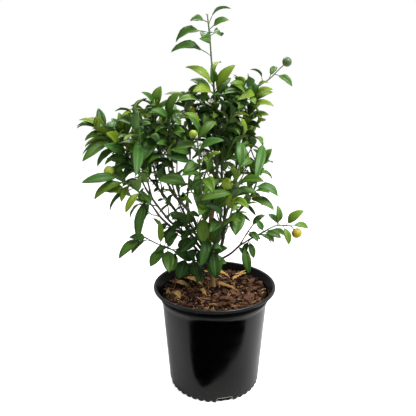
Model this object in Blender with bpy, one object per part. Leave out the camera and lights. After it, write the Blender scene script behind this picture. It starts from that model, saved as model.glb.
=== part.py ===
# Potted calamondin: a bushy young citrus tree in a black plastic nursery pot.
# Sizes are in millimetres and angles in degrees, and MM turns a size into Blender's metres.
# The origin is the middle of the pot's underside, +Z is up, and -Y faces the viewer.
import math
import random

import bmesh
import bpy
from mathutils import Matrix, Vector, noise
from mathutils.bvhtree import BVHTree

MM = 0.001
GAP = 0.3                  # clearance between two pieces that touch
SEED = 11

# Pot: a tapered tub with a small ledge, a neck and a flared lip
POT_HEIGHT = 241.0
LIP_RADIUS = 140.0
BODY_RADIUS = 121.5        # outside, just under the ledge
BODY_TOP = 210.0
FOOT_RADIUS = 106.0
WALL = 2.2
FLOOR = 3.0
LEDGE_OUT = 3.6            # how far the ledge stands out from the body
NECK_OUT = 2.2             # how far the neck stands out, between the ledge and the flare
FLARE_OUT = 4.5            # how far the foot of the flare stands out
LIP_EDGE = 6.0             # height of the lip's upright edge and its rounding
POT_SIDES = 32
DRAIN_WIDTH = 41.0
DRAIN_HEIGHT = 9.0
DRAIN_TAPER = 4.0          # how much narrower each side of a drain notch is at its top
DRAIN_DEPTH = 14.0         # how far a drain notch runs in under the pot
DRAIN_ANGLES = (-78.0, 12.0, 102.0, 192.0)

# Soil: fills the pot to 20 mm under the lip, with a rough top
SOIL_LEVEL = 219.0
SOIL_BUMP = 3.0
SOIL_RINGS = (112.0, 84.0, 54.0, 24.0)
SOIL_WALL_GAP = 0.45       # clearance between the soil and the pot's faceted wall

# Trunk: stands in a plain hole in the soil
TRUNK_RADIUS = 6.2
TRUNK_FOOT = 150.0
TRUNK_SPOT = (-3, 22)      # where it leaves the soil
TRUNK_ROUTE = ((*TRUNK_SPOT, TRUNK_FOOT), (*TRUNK_SPOT, 205), (*TRUNK_SPOT, 222), (-5, 20, 258),
               (-12, 18, 290), (-14, 15, 312))

# Leaf: a folded, arched blade on a short stalk, by shares of its length and of its half width
BLADE_STATIONS = ((0.0, 0.05), (0.33, 0.88), (0.66, 0.92))
STALKED_STATIONS = ((0.0, 0.05), (0.15, 0.06), (0.42, 0.94), (0.71, 0.86))
STALK_HALF = 0.6
RIB_THICK = 1.3
STALK_THICK = 1.1
LEAF_SPACING = 33.0
LEAF_LENGTH = (44.0, 60.0)
LEAF_TRIES = 26
LEAF_CLEAR = 0.5           # grown all round a leaf for the test of what it would touch
LEAF_ROOT = 0.15           # the share of a leaf that may touch its own stem

# How a leaf grows by rule: its angle to the stem at the side and at the tip, its pull towards
# the outside, its rise, its width by its length, its arch and its fold
SIDE_ANGLE = (45, 80)
TIP_ANGLE = (12, 35)
OUTWARD_PULL = 0.35
LEAF_RISE = (-0.35, 0.15)
LEAF_WIDTH = (0.38, 0.48)
LEAF_ARCH = (0.08, 0.2)
LEAF_FOLD = (0.3, 0.6)
GOLDEN_TURN = 137.5

# Side shoots: distance of the first from the bare wood, clear length at the tip, spacing,
# length, and radius at the start and at the tip
SHOOT_FIRST = 18.0
SHOOT_LAST = 45.0
SHOOT_SPACING = (50, 64)
SHOOT_LENGTH = (44, 66)
SHOOT_RADIUS = (1.5, 1.2)
SHOOT_CLEAR = 1.2
SHOOT_TRIES = 30

# Leaves stay inside the pot's mouth where they hang below the lip, and clear of the soil
MOUTH_RADIUS = 108.0
LIP_CLEAR = 6.0
SOIL_CLEAR = 12.0

# The crown's outline seen from the front: height, left edge and right edge
CROWN = ((270, -60, 50), (300, -110, 66), (340, -150, 82), (380, -160, 96), (415, -215, 98), (450, -238, 118),
         (485, -245, 106), (520, -248, 92), (550, -272, 84), (590, -274, 86), (612, -274, 96),
         (630, -236, 90), (650, -158, 98), (668, -112, 104), (688, -66, 82), (712, -58, 36),
         (735, -40, 14))
CROWN_DEPTH = 158.0        # from the middle to the front and to the back

# Limbs: where each grows, by its own route, what bare length belongs to the trunk's solid,
# and its radius at the start and at the tip
LIMBS = {
    "leader": dict(bare=126, radius=(5.3, 2.2), route=(
        (-13, 17, 302), (-13, 14, 330), (-10, 12, 360), (-6, 10, 407), (1, 12, 457),
        (5, 10, 513), (2, 8, 568), (0, 5, 636))),
    "top_shoot": dict(bare=0, radius=(2.2, 1.3), route=(
        (0, 5, 636.3), (-3, 5, 681), (-7, 5, 721), (-10, 5, 759), (-12, 5, 782), (-16, 5, 815))),
    "left_high": dict(bare=182, radius=(3.2, 1.4), route=(
        (-14, 15, 312), (-29, 8, 343), (-40, 0, 375), (-55, -5, 411), (-79, -5, 438),
        (-100, -5, 465), (-108, -2, 500), (-118, 0, 547), (-125, 0, 600), (-128, 0, 640))),
    "left_between": dict(bare=24, radius=(1.9, 1.3), route=(
        (-73, -5, 433), (-83, -14, 470), (-90, -24, 520), (-94, -30, 570), (-92, -32, 614))),
    "left_inner": dict(bare=26, radius=(2.0, 1.3), route=(
        (-62, -5, 419), (-60, -1, 445), (-57, 5, 480), (-54, 12, 530), (-56, 20, 600),
        (-53, 20, 650))),
    "left_back": dict(bare=216, radius=(3.0, 1.4), route=(
        (-13, 17, 298), (-30, 20, 315), (-61, 25, 360), (-75, 30, 381), (-96, 35, 413),
        (-114, 40, 435), (-137, 45, 465), (-157, 45, 488), (-176, 45, 520), (-193, 45, 547),
        (-207, 45, 575))),
    "left_back_upper": dict(bare=24, radius=(1.9, 1.3), route=(
        (-130, 43, 456), (-140, 56, 500), (-150, 68, 552), (-156, 72, 605))),
    "left_front": dict(bare=190, radius=(2.6, 1.3), route=(
        (-12, 18, 290), (-27, 10, 303), (-51, 0, 335), (-70, -15, 361), (-106, -30, 393),
        (-127, -40, 425), (-143, -45, 450), (-160, -50, 467), (-194, -60, 495), (-204, -60, 503))),
    "left_outer": dict(bare=156, radius=(2.2, 1.3), route=(
        (-58, -5, 345), (-72, -2, 366), (-99, -10, 391), (-117, -15, 417), (-142, -20, 455),
        (-154, -20, 479), (-168, -20, 511), (-187, -20, 539), (-236, -20, 590))),
    "left_middle": dict(bare=20, radius=(1.8, 1.3), route=(
        (-137, -19, 447), (-145, -28, 497), (-155, -34, 548), (-162, -36, 600), (-164, -36, 625))),
    "low_left": dict(bare=36, radius=(1.9, 1.2), route=(
        (-9, 19, 276), (-24, 10, 284), (-40, 0, 294), (-62, -15, 309), (-85, -30, 327),
        (-106, -40, 342), (-129, -45, 353), (-151, -50, 368))),
    "low_right": dict(bare=104, radius=(2.2, 1.2), route=(
        (-9, 19, 278), (19, 0, 301), (41, -10, 319), (54, -20, 337), (64, -25, 350),
        (88, -30, 361), (104, -35, 374), (117, -35, 376), (131, -35, 388), (148, -35, 392),
        (164, -35, 388))),
    "low_right_twig": dict(bare=0, stub=8, radius=(1.5, 1.2), route=(
        (56, -21, 340), (66, -20, 358), (77, -22, 378), (86, -25, 392))),
    "low_centre": dict(bare=0, stub=11, radius=(1.8, 1.2), route=(
        (-9, 19, 274), (-8, 3, 286), (-6, -12, 304), (-5, -24, 326), (-4, -33, 347))),
    "low_centre_left": dict(bare=0, stub=11, radius=(1.8, 1.2), route=(
        (-5, 20, 262), (-17, 8, 268), (-30, -4, 279), (-44, -14, 296), (-52, -18, 318))),
    "left_low_twig": dict(bare=0, stub=6, radius=(1.4, 1.2), route=(
        (-36, 4, 362), (-46, -10, 368), (-58, -22, 380), (-66, -30, 398))),
    "right_inner": dict(bare=150, radius=(3.4, 1.4), route=(
        (-13, 18, 292), (-4, 18, 299), (8, 20, 308), (15, 25, 319), (22, 30, 349), (23, 35, 382),
        (24, 35, 417), (21, 35, 446), (17, 35, 487), (14, 35, 532), (16, 35, 577), (24, 35, 613),
        (33, 35, 651))),
    "right_high": dict(bare=62, radius=(2.2, 1.2), route=(
        (23, 35, 380), (31, 25, 417), (35, 20, 442), (43, 15, 479), (51, 15, 524), (61, 15, 567),
        (75, 15, 631), (80, 15, 655), (92, 15, 680), (107, 15, 689), (123, 15, 702),
        (136, 15, 716))),
    "back_middle": dict(bare=80, radius=(2.4, 1.4), route=(
        (21, 29, 340), (18, 45, 352), (14, 62, 387), (7, 80, 419), (0, 95, 465), (-5, 110, 511),
        (-10, 118, 558), (-12, 120, 600))),
    "right_outer": dict(bare=48, radius=(2.2, 1.3), route=(
        (23, 33, 366), (41, 15, 392), (58, -10, 422), (72, -20, 440), (83, -25, 465),
        (90, -30, 492), (96, -30, 524), (99, -27, 566))),
    "front_left": dict(bare=96, radius=(2.6, 1.3), route=(
        (-14, 16, 306), (-19, -10, 348), (-23, -40, 391), (-25, -70, 432), (-27, -90, 468),
        (-30, -105, 511), (-32, -110, 550), (-35, -110, 578))),
    "front_right": dict(bare=92, radius=(2.6, 1.3), route=(
        (-13, 17, 301), (-5, 0, 322), (5, -20, 351), (17, -55, 402), (27, -80, 445),
        (36, -95, 479), (43, -100, 510), (46, -100, 548), (46, -95, 576))),
    "back_left": dict(bare=140, radius=(2.8, 1.4), route=(
        (-14, 15, 305), (-43, 50, 340), (-71, 90, 379), (-95, 120, 422), (-110, 130, 470),
        (-114, 132, 520), (-118, 130, 575))),
    "back_right": dict(bare=82, radius=(2.8, 1.4), route=(
        (-12, 18, 300), (19, 60, 337), (40, 92, 378), (50, 108, 422), (54, 112, 470),
        (52, 112, 520), (46, 108, 575))),
}

# Leaves seen on the outside of the crown: distance along the limb, tip, width, and how
# squarely the blade faces the viewer, from 0 (edge on) to 1
SEEN_LEAVES = {
    "top_shoot": (
        (102, (-90, -5, 745), 24, 0.4), (147, (-81, 10, 766), 26, 0.4), (166, (-51, 5, 805), 20, 0.4),
        (160, (31, 15, 830), 16, 0.2), (152, (27, 0, 806), 18, 0.8), (137, (-24, -45, 764), 20, 0.5),
        (140, (13, 50, 783), 18, 0.4), (38, (-61, -10, 716), 22, 0.7), (30, (40, -5, 720), 22, 0.9),
        (46, (-9, -25, 715), 17, 0.9), (55, (13, 35, 729), 16, 0.1), (24, (-53, 30, 693), 20, 0.7),
        (18, (34, 30, 697), 18, 0.7)),
    "right_high": (
        (319, (73, 15, 713), 17, 0.3), (335, (129, 30, 721), 14, 0.4), (350, (159, 0, 679), 16, 0.7),
        (281, (120, 5, 673), 20, 0.6), (272, (125, 30, 668), 18, 0.5), (263, (122, -5, 639), 19, 0.5),
        (240, (113, 0, 621), 19, 0.6), (225, (93, -20, 595), 16, 0.6), (290, (85, 30, 684), 18, 0.9)),
    "left_high": (
        (350, (-112, -5, 679), 22, 0.9), (332, (-80, -25, 649), 22, 0.7), (340, (-166, 10, 649), 15, 0.2),
        (318, (-174, -15, 633), 18, 0.7), (291, (-151, -55, 529), 28, 0.9), (264, (-139, -40, 510), 22, 0.7),
        (352, (-146, -26, 668), 18, 0.7)),
    "left_inner": (
        (224, (-106, 10, 663), 20, 0.5), (230, (-27, -8, 680), 26, 0.8), (214, (-75, 30, 672), 22, 0.8),
        (222, (-52, -14, 668), 20, 0.8), (196, (-42, -26, 650), 24, 0.8),
        (147, (-94, -30, 530), 26, 0.8)),
    "left_outer": (
        (300, (-242, -10, 635), 19, 0.9), (292, (-234, -40, 618), 22, 0.9), (299, (-278, -22, 613), 18, 0.5),
        (303, (-290, -8, 598), 20, 0.5), (280, (-222, -60, 605), 26, 0.6), (270, (-277, -30, 541), 20, 0.5),
        (256, (-243, -45, 519), 20, 0.7), (225, (-226, -50, 523), 21, 0.5), (198, (-201, -60, 509), 26, 0.6),
        (219, (-150, -65, 518), 26, 0.7), (200, (-199, -10, 471), 18, 0.7),
        (292, (-268, -34, 570), 19, 0.6), (262, (-256, 12, 560), 20, 0.6), (284, (-215, 20, 606), 20, 0.8)),
    "left_back": (
        (328, (-171, 45, 631), 20, 0.7), (334, (-231, 60, 612), 20, 0.8), (341, (-211, 35, 626), 20, 0.8)),
    "left_front": (
        (292, (-260, -70, 498), 20, 0.6), (276, (-244, -80, 457), 22, 0.6), (266, (-191, -75, 451), 15, 0.8),
        (240, (-182, -60, 430), 16, 0.7), (254, (-222, -50, 424), 16, 0.6), (209, (-151, -60, 404), 18, 0.8),
        (218, (-157, -68, 371), 22, 0.8), (226, (-132, -70, 446), 18, 0.7)),
    "low_left": (
        (178, (-177, -60, 377), 16, 0.7), (185, (-202, -75, 329), 22, 0.8),
        (164, (-182, -40, 326), 16, 0.2), (144, (-118, -45, 404), 14, 0.9), (130, (-139, -60, 305), 24, 0.9),
        (106, (-93, -50, 290), 26, 1.0), (136, (-85, -20, 379), 16, 0.5), (73, (-81, -40, 267), 30, 0.9),
        (55, (-42, -35, 272), 26, 0.8), (93, (-54, -25, 357), 24, 0.6), (118, (-71, -10, 303), 15, 0.4)),
    "right_outer": (
        (64, (45, -25, 367), 34, 1.0), (187, (117, -30, 557), 20, 0.5), (180, (92, -55, 501), 20, 0.9),
        (170, (121, -25, 489), 16, 0.4), (185, (124, 0, 520), 18, 0.6), (140, (134, -30, 452), 24, 0.6),
        (109, (126, -35, 424), 22, 0.6), (126, (102, -20, 428), 15, 0.6)),
    "low_right_twig": (
        (29, (98, -42, 360), 16, 0.7), (46, (111, -10, 406), 14, 0.6)),
    "low_right": (
        (122, (85, -40, 316), 15, 0.8), (126, (68, -6, 316), 14, 0.7), (109, (75, -44, 281), 20, 0.8),
        (160, (141, -50, 366), 18, 0.8), (168, (156, -10, 357), 15, 0.5), (148, (132, -20, 346), 15, 0.5),
        (130, (126, -8, 340), 15, 0.2), (193, (134, -30, 432), 16, 0.8), (212, (188, -42, 424), 20, 0.8),
        (222, (205, -22, 379), 15, 0.5), (206, (158, -52, 352), 16, 0.9), (199, (117, -15, 409), 14, 0.5)),
    "leader": (
        (150, (-38, -14, 420), 22, 0.7), (165, (34, -18, 438), 22, 0.7)),
    "low_centre": (
        (24, (2, -36, 268), 32, 0.9), (34, (26, -30, 300), 22, 0.8), (40, (-34, -38, 306), 22, 0.8),
        (56, (28, -36, 338), 22, 0.8), (64, (-34, -36, 356), 24, 0.9), (84, (14, -36, 396), 22, 0.8)),
    "low_centre_left": (
        (26, (-40, -36, 257), 26, 0.9), (40, (-84, -34, 268), 30, 0.8),
        (50, (-84, 2, 308), 20, 0.7), (66, (-86, -28, 338), 22, 0.7),
        (58, (-24, -36, 330), 22, 0.8)),
    "left_low_twig": (
        (26, (-72, -36, 356), 20, 0.8), (36, (-92, -28, 392), 18, 0.7), (46, (-58, -44, 424), 20, 0.8),
        (30, (-44, -44, 372), 18, 0.8), (46, (-96, -40, 418), 18, 0.7)),
    "right_inner": (
        (352, (68, 30, 694), 22, 0.9), (356, (44, 24, 692), 20, 0.8), (340, (58, 0, 661), 22, 0.7),
        (330, (36, -12, 656), 20, 0.8), (360, (22, 14, 686), 20, 0.7), (322, (54, -14, 636), 22, 0.7)),
    "left_between": (
        (180, (-128, -58, 632), 20, 0.8), (186, (-66, -60, 626), 20, 0.8), (150, (-60, -66, 590), 22, 0.8),
        (120, (-118, -60, 566), 22, 0.7)),
    "front_right": ((208, (-30, -112, 462), 20, 0.8),),
    "front_left": ((262, (-61, -136, 520), 22, 0.8),),
}

# Fruits: limb, distance along it, centre, diameter and colour
FRUITS = {
    "fruit_low_right": ("low_right", 225, (177, -36, 372), 21, "orange"),
    "fruit_top_right": ("right_high", 362, (149, 15, 728), 19, "green"),
    "fruit_front": ("front_right", 236, (23, -86, 490), 22, "lime"),
    "fruit_upper_front": ("front_left", 300, (-43, -96, 588), 15, "lime"),
    "fruit_upper_left": ("left_inner", 200, (-49, 3, 629), 17, "lime"),
    "fruit_right": ("right_outer", 118, (86, -6, 450), 15, "lime"),
    "fruit_left": ("left_front", 292, (-216, -60, 511), 20, "lime"),
}
STALK_RADIUS = 1.2
LEAF_CORNERS = 13          # the fewest corners a real body can have
FOLDED = -0.999            # faces whose normals are as opposed as this lie on each other
SHORT_EDGE = 0.8           # the longest edge that is closed up where a leaf joins its stem

# Limbs that bear only the leaves above, on stalks that show, and no side shoots
STALKED = ("top_shoot", "low_left", "low_right_twig", "low_right", "low_centre", "low_centre_left",
           "left_low_twig")

# Dry leaves, wood strips and bark on the soil: middle, length, width, turn and kind
LITTER = {
    "wood_strip_1": ((32, 14), 64, 9, -48, "strip"),
    "dry_leaf_1": ((-50, 44), 62, 19, -46, "leaf"),
    "dry_leaf_2": ((-80, 26), 40, 16, -30, "leaf"),
    "wood_strip_2": ((-26, -14), 28, 8, -58, "strip"),
    "dry_leaf_3": ((-86, -30), 40, 17, -60, "leaf"),
    "wood_strip_3": ((-30, 98), 34, 7, 16, "strip"),
    "wood_strip_4": ((26, 90), 34, 8, -60, "strip"),
    "wood_strip_5": ((62, 76), 40, 7, 30, "strip"),
    "bark_chip_1": ((80, -36), 36, 18, 48, "bark"),
    "bark_chip_2": ((94, 6), 28, 14, 33, "bark"),
    "bark_chip_3": ((26, -48), 28, 16, -12, "bark"),
    "bark_chip_4": ((92, 44), 24, 13, 62, "bark"),
}

COLOURS = {
    "pot": ((0.016, 0.017, 0.017), 0.42),
    "soil": ((0.045, 0.026, 0.016), 0.95),
    "trunk": ((0.19, 0.115, 0.055), 0.8),
    "spray": ((0.060, 0.150, 0.030), 0.38),
    "green": ((0.045, 0.100, 0.025), 0.4),
    "lime": ((0.270, 0.400, 0.040), 0.4),
    "orange": ((0.720, 0.380, 0.030), 0.4),
    "bud": ((0.800, 0.640, 0.260), 0.6),
    "strip": ((0.420, 0.240, 0.090), 0.85),
    "leaf": ((0.300, 0.190, 0.080), 0.8),
    "bark": ((0.110, 0.055, 0.032), 0.9),
}


def clear_scene():
    for thing in list(bpy.data.objects):
        bpy.data.objects.remove(thing, do_unlink=True)


def material(name):
    found = bpy.data.materials.get(name)
    if found:
        return found
    colour, roughness = COLOURS[name]
    made = bpy.data.materials.new(name)
    made.use_nodes = True
    shader = made.node_tree.nodes["Principled BSDF"]
    shader.inputs["Base Color"].default_value = (*colour, 1.0)
    shader.inputs["Roughness"].default_value = roughness
    shader.inputs["Metallic"].default_value = 0.0
    made.diffuse_color = (*colour, 1.0)
    return made


def add_object(name, verts, faces, colour, smooth=40.0):
    mesh = bpy.data.meshes.new(name)
    mesh.from_pydata([v * MM for v in verts], [], faces)
    thing = bpy.data.objects.new(name, mesh)
    bpy.context.scene.collection.objects.link(thing)
    finish_mesh(mesh, colour, smooth)
    return thing


def finish_mesh(mesh, colour, smooth=40.0):
    mesh.materials.clear()
    mesh.materials.append(material(colour))
    mesh.shade_smooth()
    mesh.set_sharp_from_angle(angle=math.radians(smooth))


def spun(name, profile, colour):
    # A profile of (radius, height) points from the axis round to the axis, turned about Z
    bm = bmesh.new()
    verts = [bm.verts.new((r * MM, 0.0, z * MM)) for r, z in profile]
    edges = [bm.edges.new(pair) for pair in zip(verts, verts[1:])]
    bmesh.ops.spin(bm, geom=verts + edges, cent=(0, 0, 0), axis=(0, 0, 1), angle=math.tau,
                   steps=POT_SIDES, use_merge=True, use_duplicate=False)
    bmesh.ops.remove_doubles(bm, verts=bm.verts, dist=0.00001)
    bmesh.ops.recalc_face_normals(bm, faces=bm.faces)
    mesh = bpy.data.meshes.new(name)
    bm.to_mesh(mesh)
    bm.free()
    thing = bpy.data.objects.new(name, mesh)
    bpy.context.scene.collection.objects.link(thing)
    finish_mesh(mesh, colour)
    return thing


def apply_boolean(target, operation, solver, thing=None, group=None):
    cut = target.modifiers.new("join", "BOOLEAN")
    cut.operation = operation
    cut.solver = solver
    if group:
        cut.operand_type = "COLLECTION"
        cut.collection = group
    else:
        cut.object = thing
    bpy.context.view_layer.update()
    graph = bpy.context.evaluated_depsgraph_get()
    mesh = bpy.data.meshes.new_from_object(target.evaluated_get(graph))
    target.modifiers.clear()
    target.data = mesh


def fuse(target, parts, colour):
    # One union joins what grows from the target, and the joined objects are then removed
    group = bpy.data.collections.new(target.name + " parts")
    bpy.context.scene.collection.children.link(group)
    for number, (verts, faces) in enumerate(parts):
        grown = add_object(f"{target.name} part {number}", verts, faces, colour)
        bpy.context.scene.collection.objects.unlink(grown)
        group.objects.link(grown)
    apply_boolean(target, "UNION", "MANIFOLD", group=group)
    tidy_joins(target.data)
    for grown in list(group.objects):
        bpy.data.objects.remove(grown, do_unlink=True)
    bpy.data.collections.remove(group)
    finish_mesh(target.data, colour)


def faults(bm):
    # Corners where the skin is pinched, and pairs of faces that cut each other without sharing
    # a corner, or lie folded together
    bm.normal_update()
    bm.faces.ensure_lookup_table()
    tree = BVHTree.FromBMesh(bm)
    count = sum(not corner.is_manifold for corner in bm.verts)
    for a, b in tree.overlap(tree):
        if a < b and not set(bm.faces[a].verts) & set(bm.faces[b].verts):
            count += 1
    for edge in bm.edges:
        if len(edge.link_faces) != 2 or edge.link_faces[0].normal.dot(edge.link_faces[1].normal) < FOLDED:
            count += 1
    return count


def can_close(edge):
    # Closing the edge keeps one closed skin, and turns no face over
    a, b = edge.verts
    near_a = {e.other_vert(a) for e in a.link_edges}
    near_b = {e.other_vert(b) for e in b.link_edges}
    if len(near_a & near_b) != 2:
        return False
    for face in set(a.link_faces) - set(b.link_faces):
        corners = [b.co if v is a else v.co for v in face.verts]
        normal = (corners[1] - corners[0]).cross(corners[2] - corners[0])
        if normal.length < 1e-10 or normal.normalized().dot(face.normal) < 0.5:
            return False
    return True


def short_edge(bm, refused):
    # The shortest edge that may be closed, and the place by which it is known
    bm.normal_update()
    for edge in sorted(bm.edges, key=lambda e: e.calc_length()):
        if edge.calc_length() > SHORT_EDGE * MM:
            return None, None
        place = tuple(edge.verts[0].co + edge.verts[1].co)
        if place not in refused and can_close(edge):
            return edge, place
    return None, None


def drop_scrap(bm):
    # A union can leave a loose sliver with fewer corners than a leaf, which is no piece
    left = set(bm.verts)
    while left:
        body = {left.pop()}
        waiting = list(body)
        while waiting:
            corner = waiting.pop()
            near = {edge.other_vert(corner) for edge in corner.link_edges} & left
            left -= near
            body |= near
            waiting += near
        if len(body) < LEAF_CORNERS:
            bmesh.ops.delete(bm, geom=list(body), context="VERTS")


def tidy_joins(mesh):
    # The tiny edges where a leaf meets its stem are closed up, where that makes no faces cross
    bm = bmesh.new()
    bm.from_mesh(mesh)
    drop_scrap(bm)
    bmesh.ops.triangulate(bm, faces=bm.faces)
    allowed = faults(bm)
    refused = set()
    edge, place = short_edge(bm, refused)
    while edge:
        spare = bm.copy()
        bmesh.ops.weld_verts(bm, targetmap={edge.verts[0]: edge.verts[1]})
        if faults(bm) > allowed:
            refused.add(place)
            bm.free()
            bm = spare
        else:
            spare.free()
        edge, place = short_edge(bm, refused)
    bm.to_mesh(mesh)
    bm.free()


def smooth_route(points, step):
    # A Catmull-Rom curve through the points, read again at even steps
    pts = [Vector(p) for p in points]
    ends = [2 * pts[0] - pts[1]] + pts + [2 * pts[-1] - pts[-2]]
    fine = []
    for a, b, c, d in zip(ends, ends[1:], ends[2:], ends[3:]):
        for k in range(10):
            t = k / 10
            fine.append(0.5 * (2 * b + (c - a) * t + (2 * a - 5 * b + 4 * c - d) * t * t
                               + (3 * b - a - 3 * c + d) * t ** 3))
    fine.append(pts[-1])
    reach = [0.0]
    for a, b in zip(fine, fine[1:]):
        reach.append(reach[-1] + (b - a).length)
    count = max(2, round(reach[-1] / step))
    route = []
    spot = 0
    for k in range(count + 1):
        want = reach[-1] * k / count
        while spot < len(reach) - 2 and reach[spot + 1] < want:
            spot += 1
        share = (want - reach[spot]) / (reach[spot + 1] - reach[spot])
        route.append(fine[spot].lerp(fine[spot + 1], share))
    return route


def length_of(route):
    return sum((b - a).length for a, b in zip(route, route[1:]))


def point_at(route, distance):
    # The place and the direction at a distance along the route
    gone = 0.0
    for a, b in zip(route, route[1:]):
        span = (b - a).length
        if gone + span >= distance or b is route[-1]:
            share = (distance - gone) / span
            return a.lerp(b, share), (b - a).normalized()
        gone += span


def cut_route(route, start, end):
    # The stretch of a route between two distances
    piece = [point_at(route, start)[0]]
    gone = 0.0
    for a, b in zip(route, route[1:]):
        gone += (b - a).length
        if start + 2.0 < gone < end - 2.0:
            piece.append(b.copy())
    piece.append(point_at(route, end)[0])
    return piece


def tube(route, radii, sides, grow=0.0):
    # A tapered tube of flat sides along a route, closed at both ends
    total = length_of(route)
    side = None
    verts = []
    gone = 0.0
    for k, point in enumerate(route):
        before = route[max(k - 1, 0)]
        after = route[min(k + 1, len(route) - 1)]
        along = (after - before).normalized()
        if side is None:
            side = along.orthogonal().normalized()
        side = (side - along * side.dot(along)).normalized()
        other = along.cross(side)
        gone += (point - before).length
        radius = radii[0] + (radii[1] - radii[0]) * gone / total + grow
        for n in range(sides):
            turn = math.tau * n / sides
            verts.append(point + side * (radius * math.cos(turn)) + other * (radius * math.sin(turn)))
    faces = [tuple(reversed(range(sides)))]
    for k in range(len(route) - 1):
        low = k * sides
        for n in range(sides):
            m = (n + 1) % sides
            faces.append((low + n, low + m, low + sides + m))
            faces.append((low + n, low + sides + m, low + sides + n))
    last = (len(route) - 1) * sides
    faces.append(tuple(range(last, last + sides)))
    return verts, faces


def leaf_frames(leaf):
    # Midrib points with their upward and sideways directions, and the half width at each
    base, tip = leaf["base"], leaf["tip"]
    axis = (tip - base).normalized()
    length = (tip - base).length
    up = (leaf["up"] - axis * leaf["up"].dot(axis)).normalized()
    side = axis.cross(up)
    rise = leaf["arch"] * length
    frames = []
    stations = STALKED_STATIONS if leaf["stalk"] else BLADE_STATIONS
    for share, wide in stations + ((1.0, 0.0),):
        point = base + axis * (length * share) + up * (4.0 * rise * share * (1.0 - share))
        slope = 4.0 * leaf["arch"] * (1.0 - 2.0 * share)
        lift = (up - axis * slope).normalized()
        half = max(wide * leaf["width"] / 2.0, STALK_HALF) if wide else 0.0
        frames.append((point, lift, side, half, wide > 0.5))
    return frames


def leaf_mesh(leaf, grow=0.0):
    # A chevron section: margins left and right, rib above and below, closed to a point
    verts = []
    frames = leaf_frames(leaf)
    for point, lift, side, half, blade in frames[:-1]:
        fold = leaf["fold"] if blade else 0.0
        thick = (RIB_THICK if blade else STALK_THICK) + 2 * grow
        out = half + grow
        verts.append(point - side * out + lift * (half * fold))
        verts.append(point + lift * (thick / 2.0))
        verts.append(point + side * out + lift * (half * fold))
        verts.append(point - lift * (thick / 2.0))
    verts.append(frames[-1][0])
    faces = [(2, 1, 0), (3, 2, 0)]
    rings = len(frames) - 1
    for k in range(rings - 1):
        low = 4 * k
        top = low + 4
        faces += [(low, low + 1, top + 1), (low, top + 1, top)]
        faces += [(low + 1, low + 2, top + 1), (low + 2, top + 2, top + 1)]
        faces += [(low + 2, low + 3, top + 3), (low + 2, top + 3, top + 2)]
        faces += [(low + 3, low, top + 3), (low, top, top + 3)]
    low = 4 * (rings - 1)
    end = 4 * rings
    faces += [(low, low + 1, end), (low + 1, low + 2, end), (low + 2, low + 3, end), (low + 3, low, end)]
    return verts, faces


def blade_only(leaf):
    # The leaf without its root, which may touch its own stem
    start = leaf["base"].lerp(leaf["tip"], LEAF_ROOT)
    return dict(leaf, base=start, stalk=False)


def crown_edges(height, depth):
    # The left and right edge of the crown at a height and a depth
    rows = CROWN
    height = min(max(height, rows[0][0]), rows[-1][0])
    for (z0, l0, r0), (z1, l1, r1) in zip(rows, rows[1:]):
        if height <= z1:
            break
    share = (height - z0) / (z1 - z0)
    left = l0 + (l1 - l0) * share
    right = r0 + (r1 - r0) * share
    narrow = max(0.0, 1.0 - (depth / CROWN_DEPTH) ** 4) ** 0.25
    return left * narrow, right * narrow


def in_crown(point):
    if abs(point.y) > CROWN_DEPTH or not CROWN[0][0] < point.z < CROWN[-1][0]:
        return False
    left, right = crown_edges(point.z, point.y)
    return left < point.x < right


def over_pot(verts):
    # Leaves stay above the lip, or over the soil inside it
    for v in verts:
        away = math.hypot(v.x, v.y)
        if v.z < POT_HEIGHT + LIP_CLEAR and (away > MOUTH_RADIUS or v.z < SOIL_LEVEL + SOIL_CLEAR):
            return False
    return True


class Space:
    # What is already placed, so that nothing new grows through it
    def __init__(self):
        self.things = []

    def add(self, node, whole, blade):
        entry = dict(node=node)
        for name, (verts, faces) in (("whole", whole), ("blade", blade)):
            middle = sum(verts, Vector()) / len(verts)
            entry[name] = BVHTree.FromPolygons(verts, faces)
            entry[name + "_ball"] = (middle, max((v - middle).length for v in verts))
        self.things.append(entry)

    def free(self, node, whole, blade):
        trees = {}
        for name, (verts, faces) in (("whole", whole), ("blade", blade)):
            middle = sum(verts, Vector()) / len(verts)
            trees[name] = (BVHTree.FromPolygons(verts, faces), middle,
                           max((v - middle).length for v in verts))
        for entry in self.things:
            name = "blade" if entry["node"] == node else "whole"
            tree, middle, reach = trees[name]
            other, far = entry[name + "_ball"]
            if (middle - other).length < reach + far and tree.overlap(entry[name]):
                return False
        return True


def try_leaf(space, node, leaf):
    whole = leaf_mesh(leaf, LEAF_CLEAR)
    blade = leaf_mesh(blade_only(leaf), LEAF_CLEAR)
    if not over_pot(whole[0]) or not space.free(node, whole, blade):
        return False
    space.add(node, whole, blade)
    return True


def seen_up(face):
    # The upper side's direction for a blade that shows this much of itself to the viewer
    return Vector((0.0, 0.24 - 1.1 * face, 0.97 - 0.45 * face))


def grow_seen_leaf(space, dice, node, route, row):
    distance, tip, width, face = row
    base = point_at(route, min(distance, length_of(route) - 1.5))[0]
    arch = 0.22 - 0.12 * face + dice.uniform(-0.02, 0.04)
    fold = dice.uniform(0.35, 0.6)
    lean = dice.uniform(-0.25, 0.25)
    for attempt in range(LEAF_TRIES):
        sway = attempt * 1.6 * (1 if attempt % 2 else -1)
        shift = Vector((0.12 * sway, sway, -0.2 * abs(sway)))
        leaf = dict(base=base, tip=Vector(tip) + shift, width=width,
                    up=seen_up(face) + Vector((lean, 0.0, 0.02 * sway)), arch=arch - 0.003 * attempt,
                    fold=fold, stalk=node in STALKED)
        if try_leaf(space, node, leaf):
            return leaf
    return None


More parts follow.
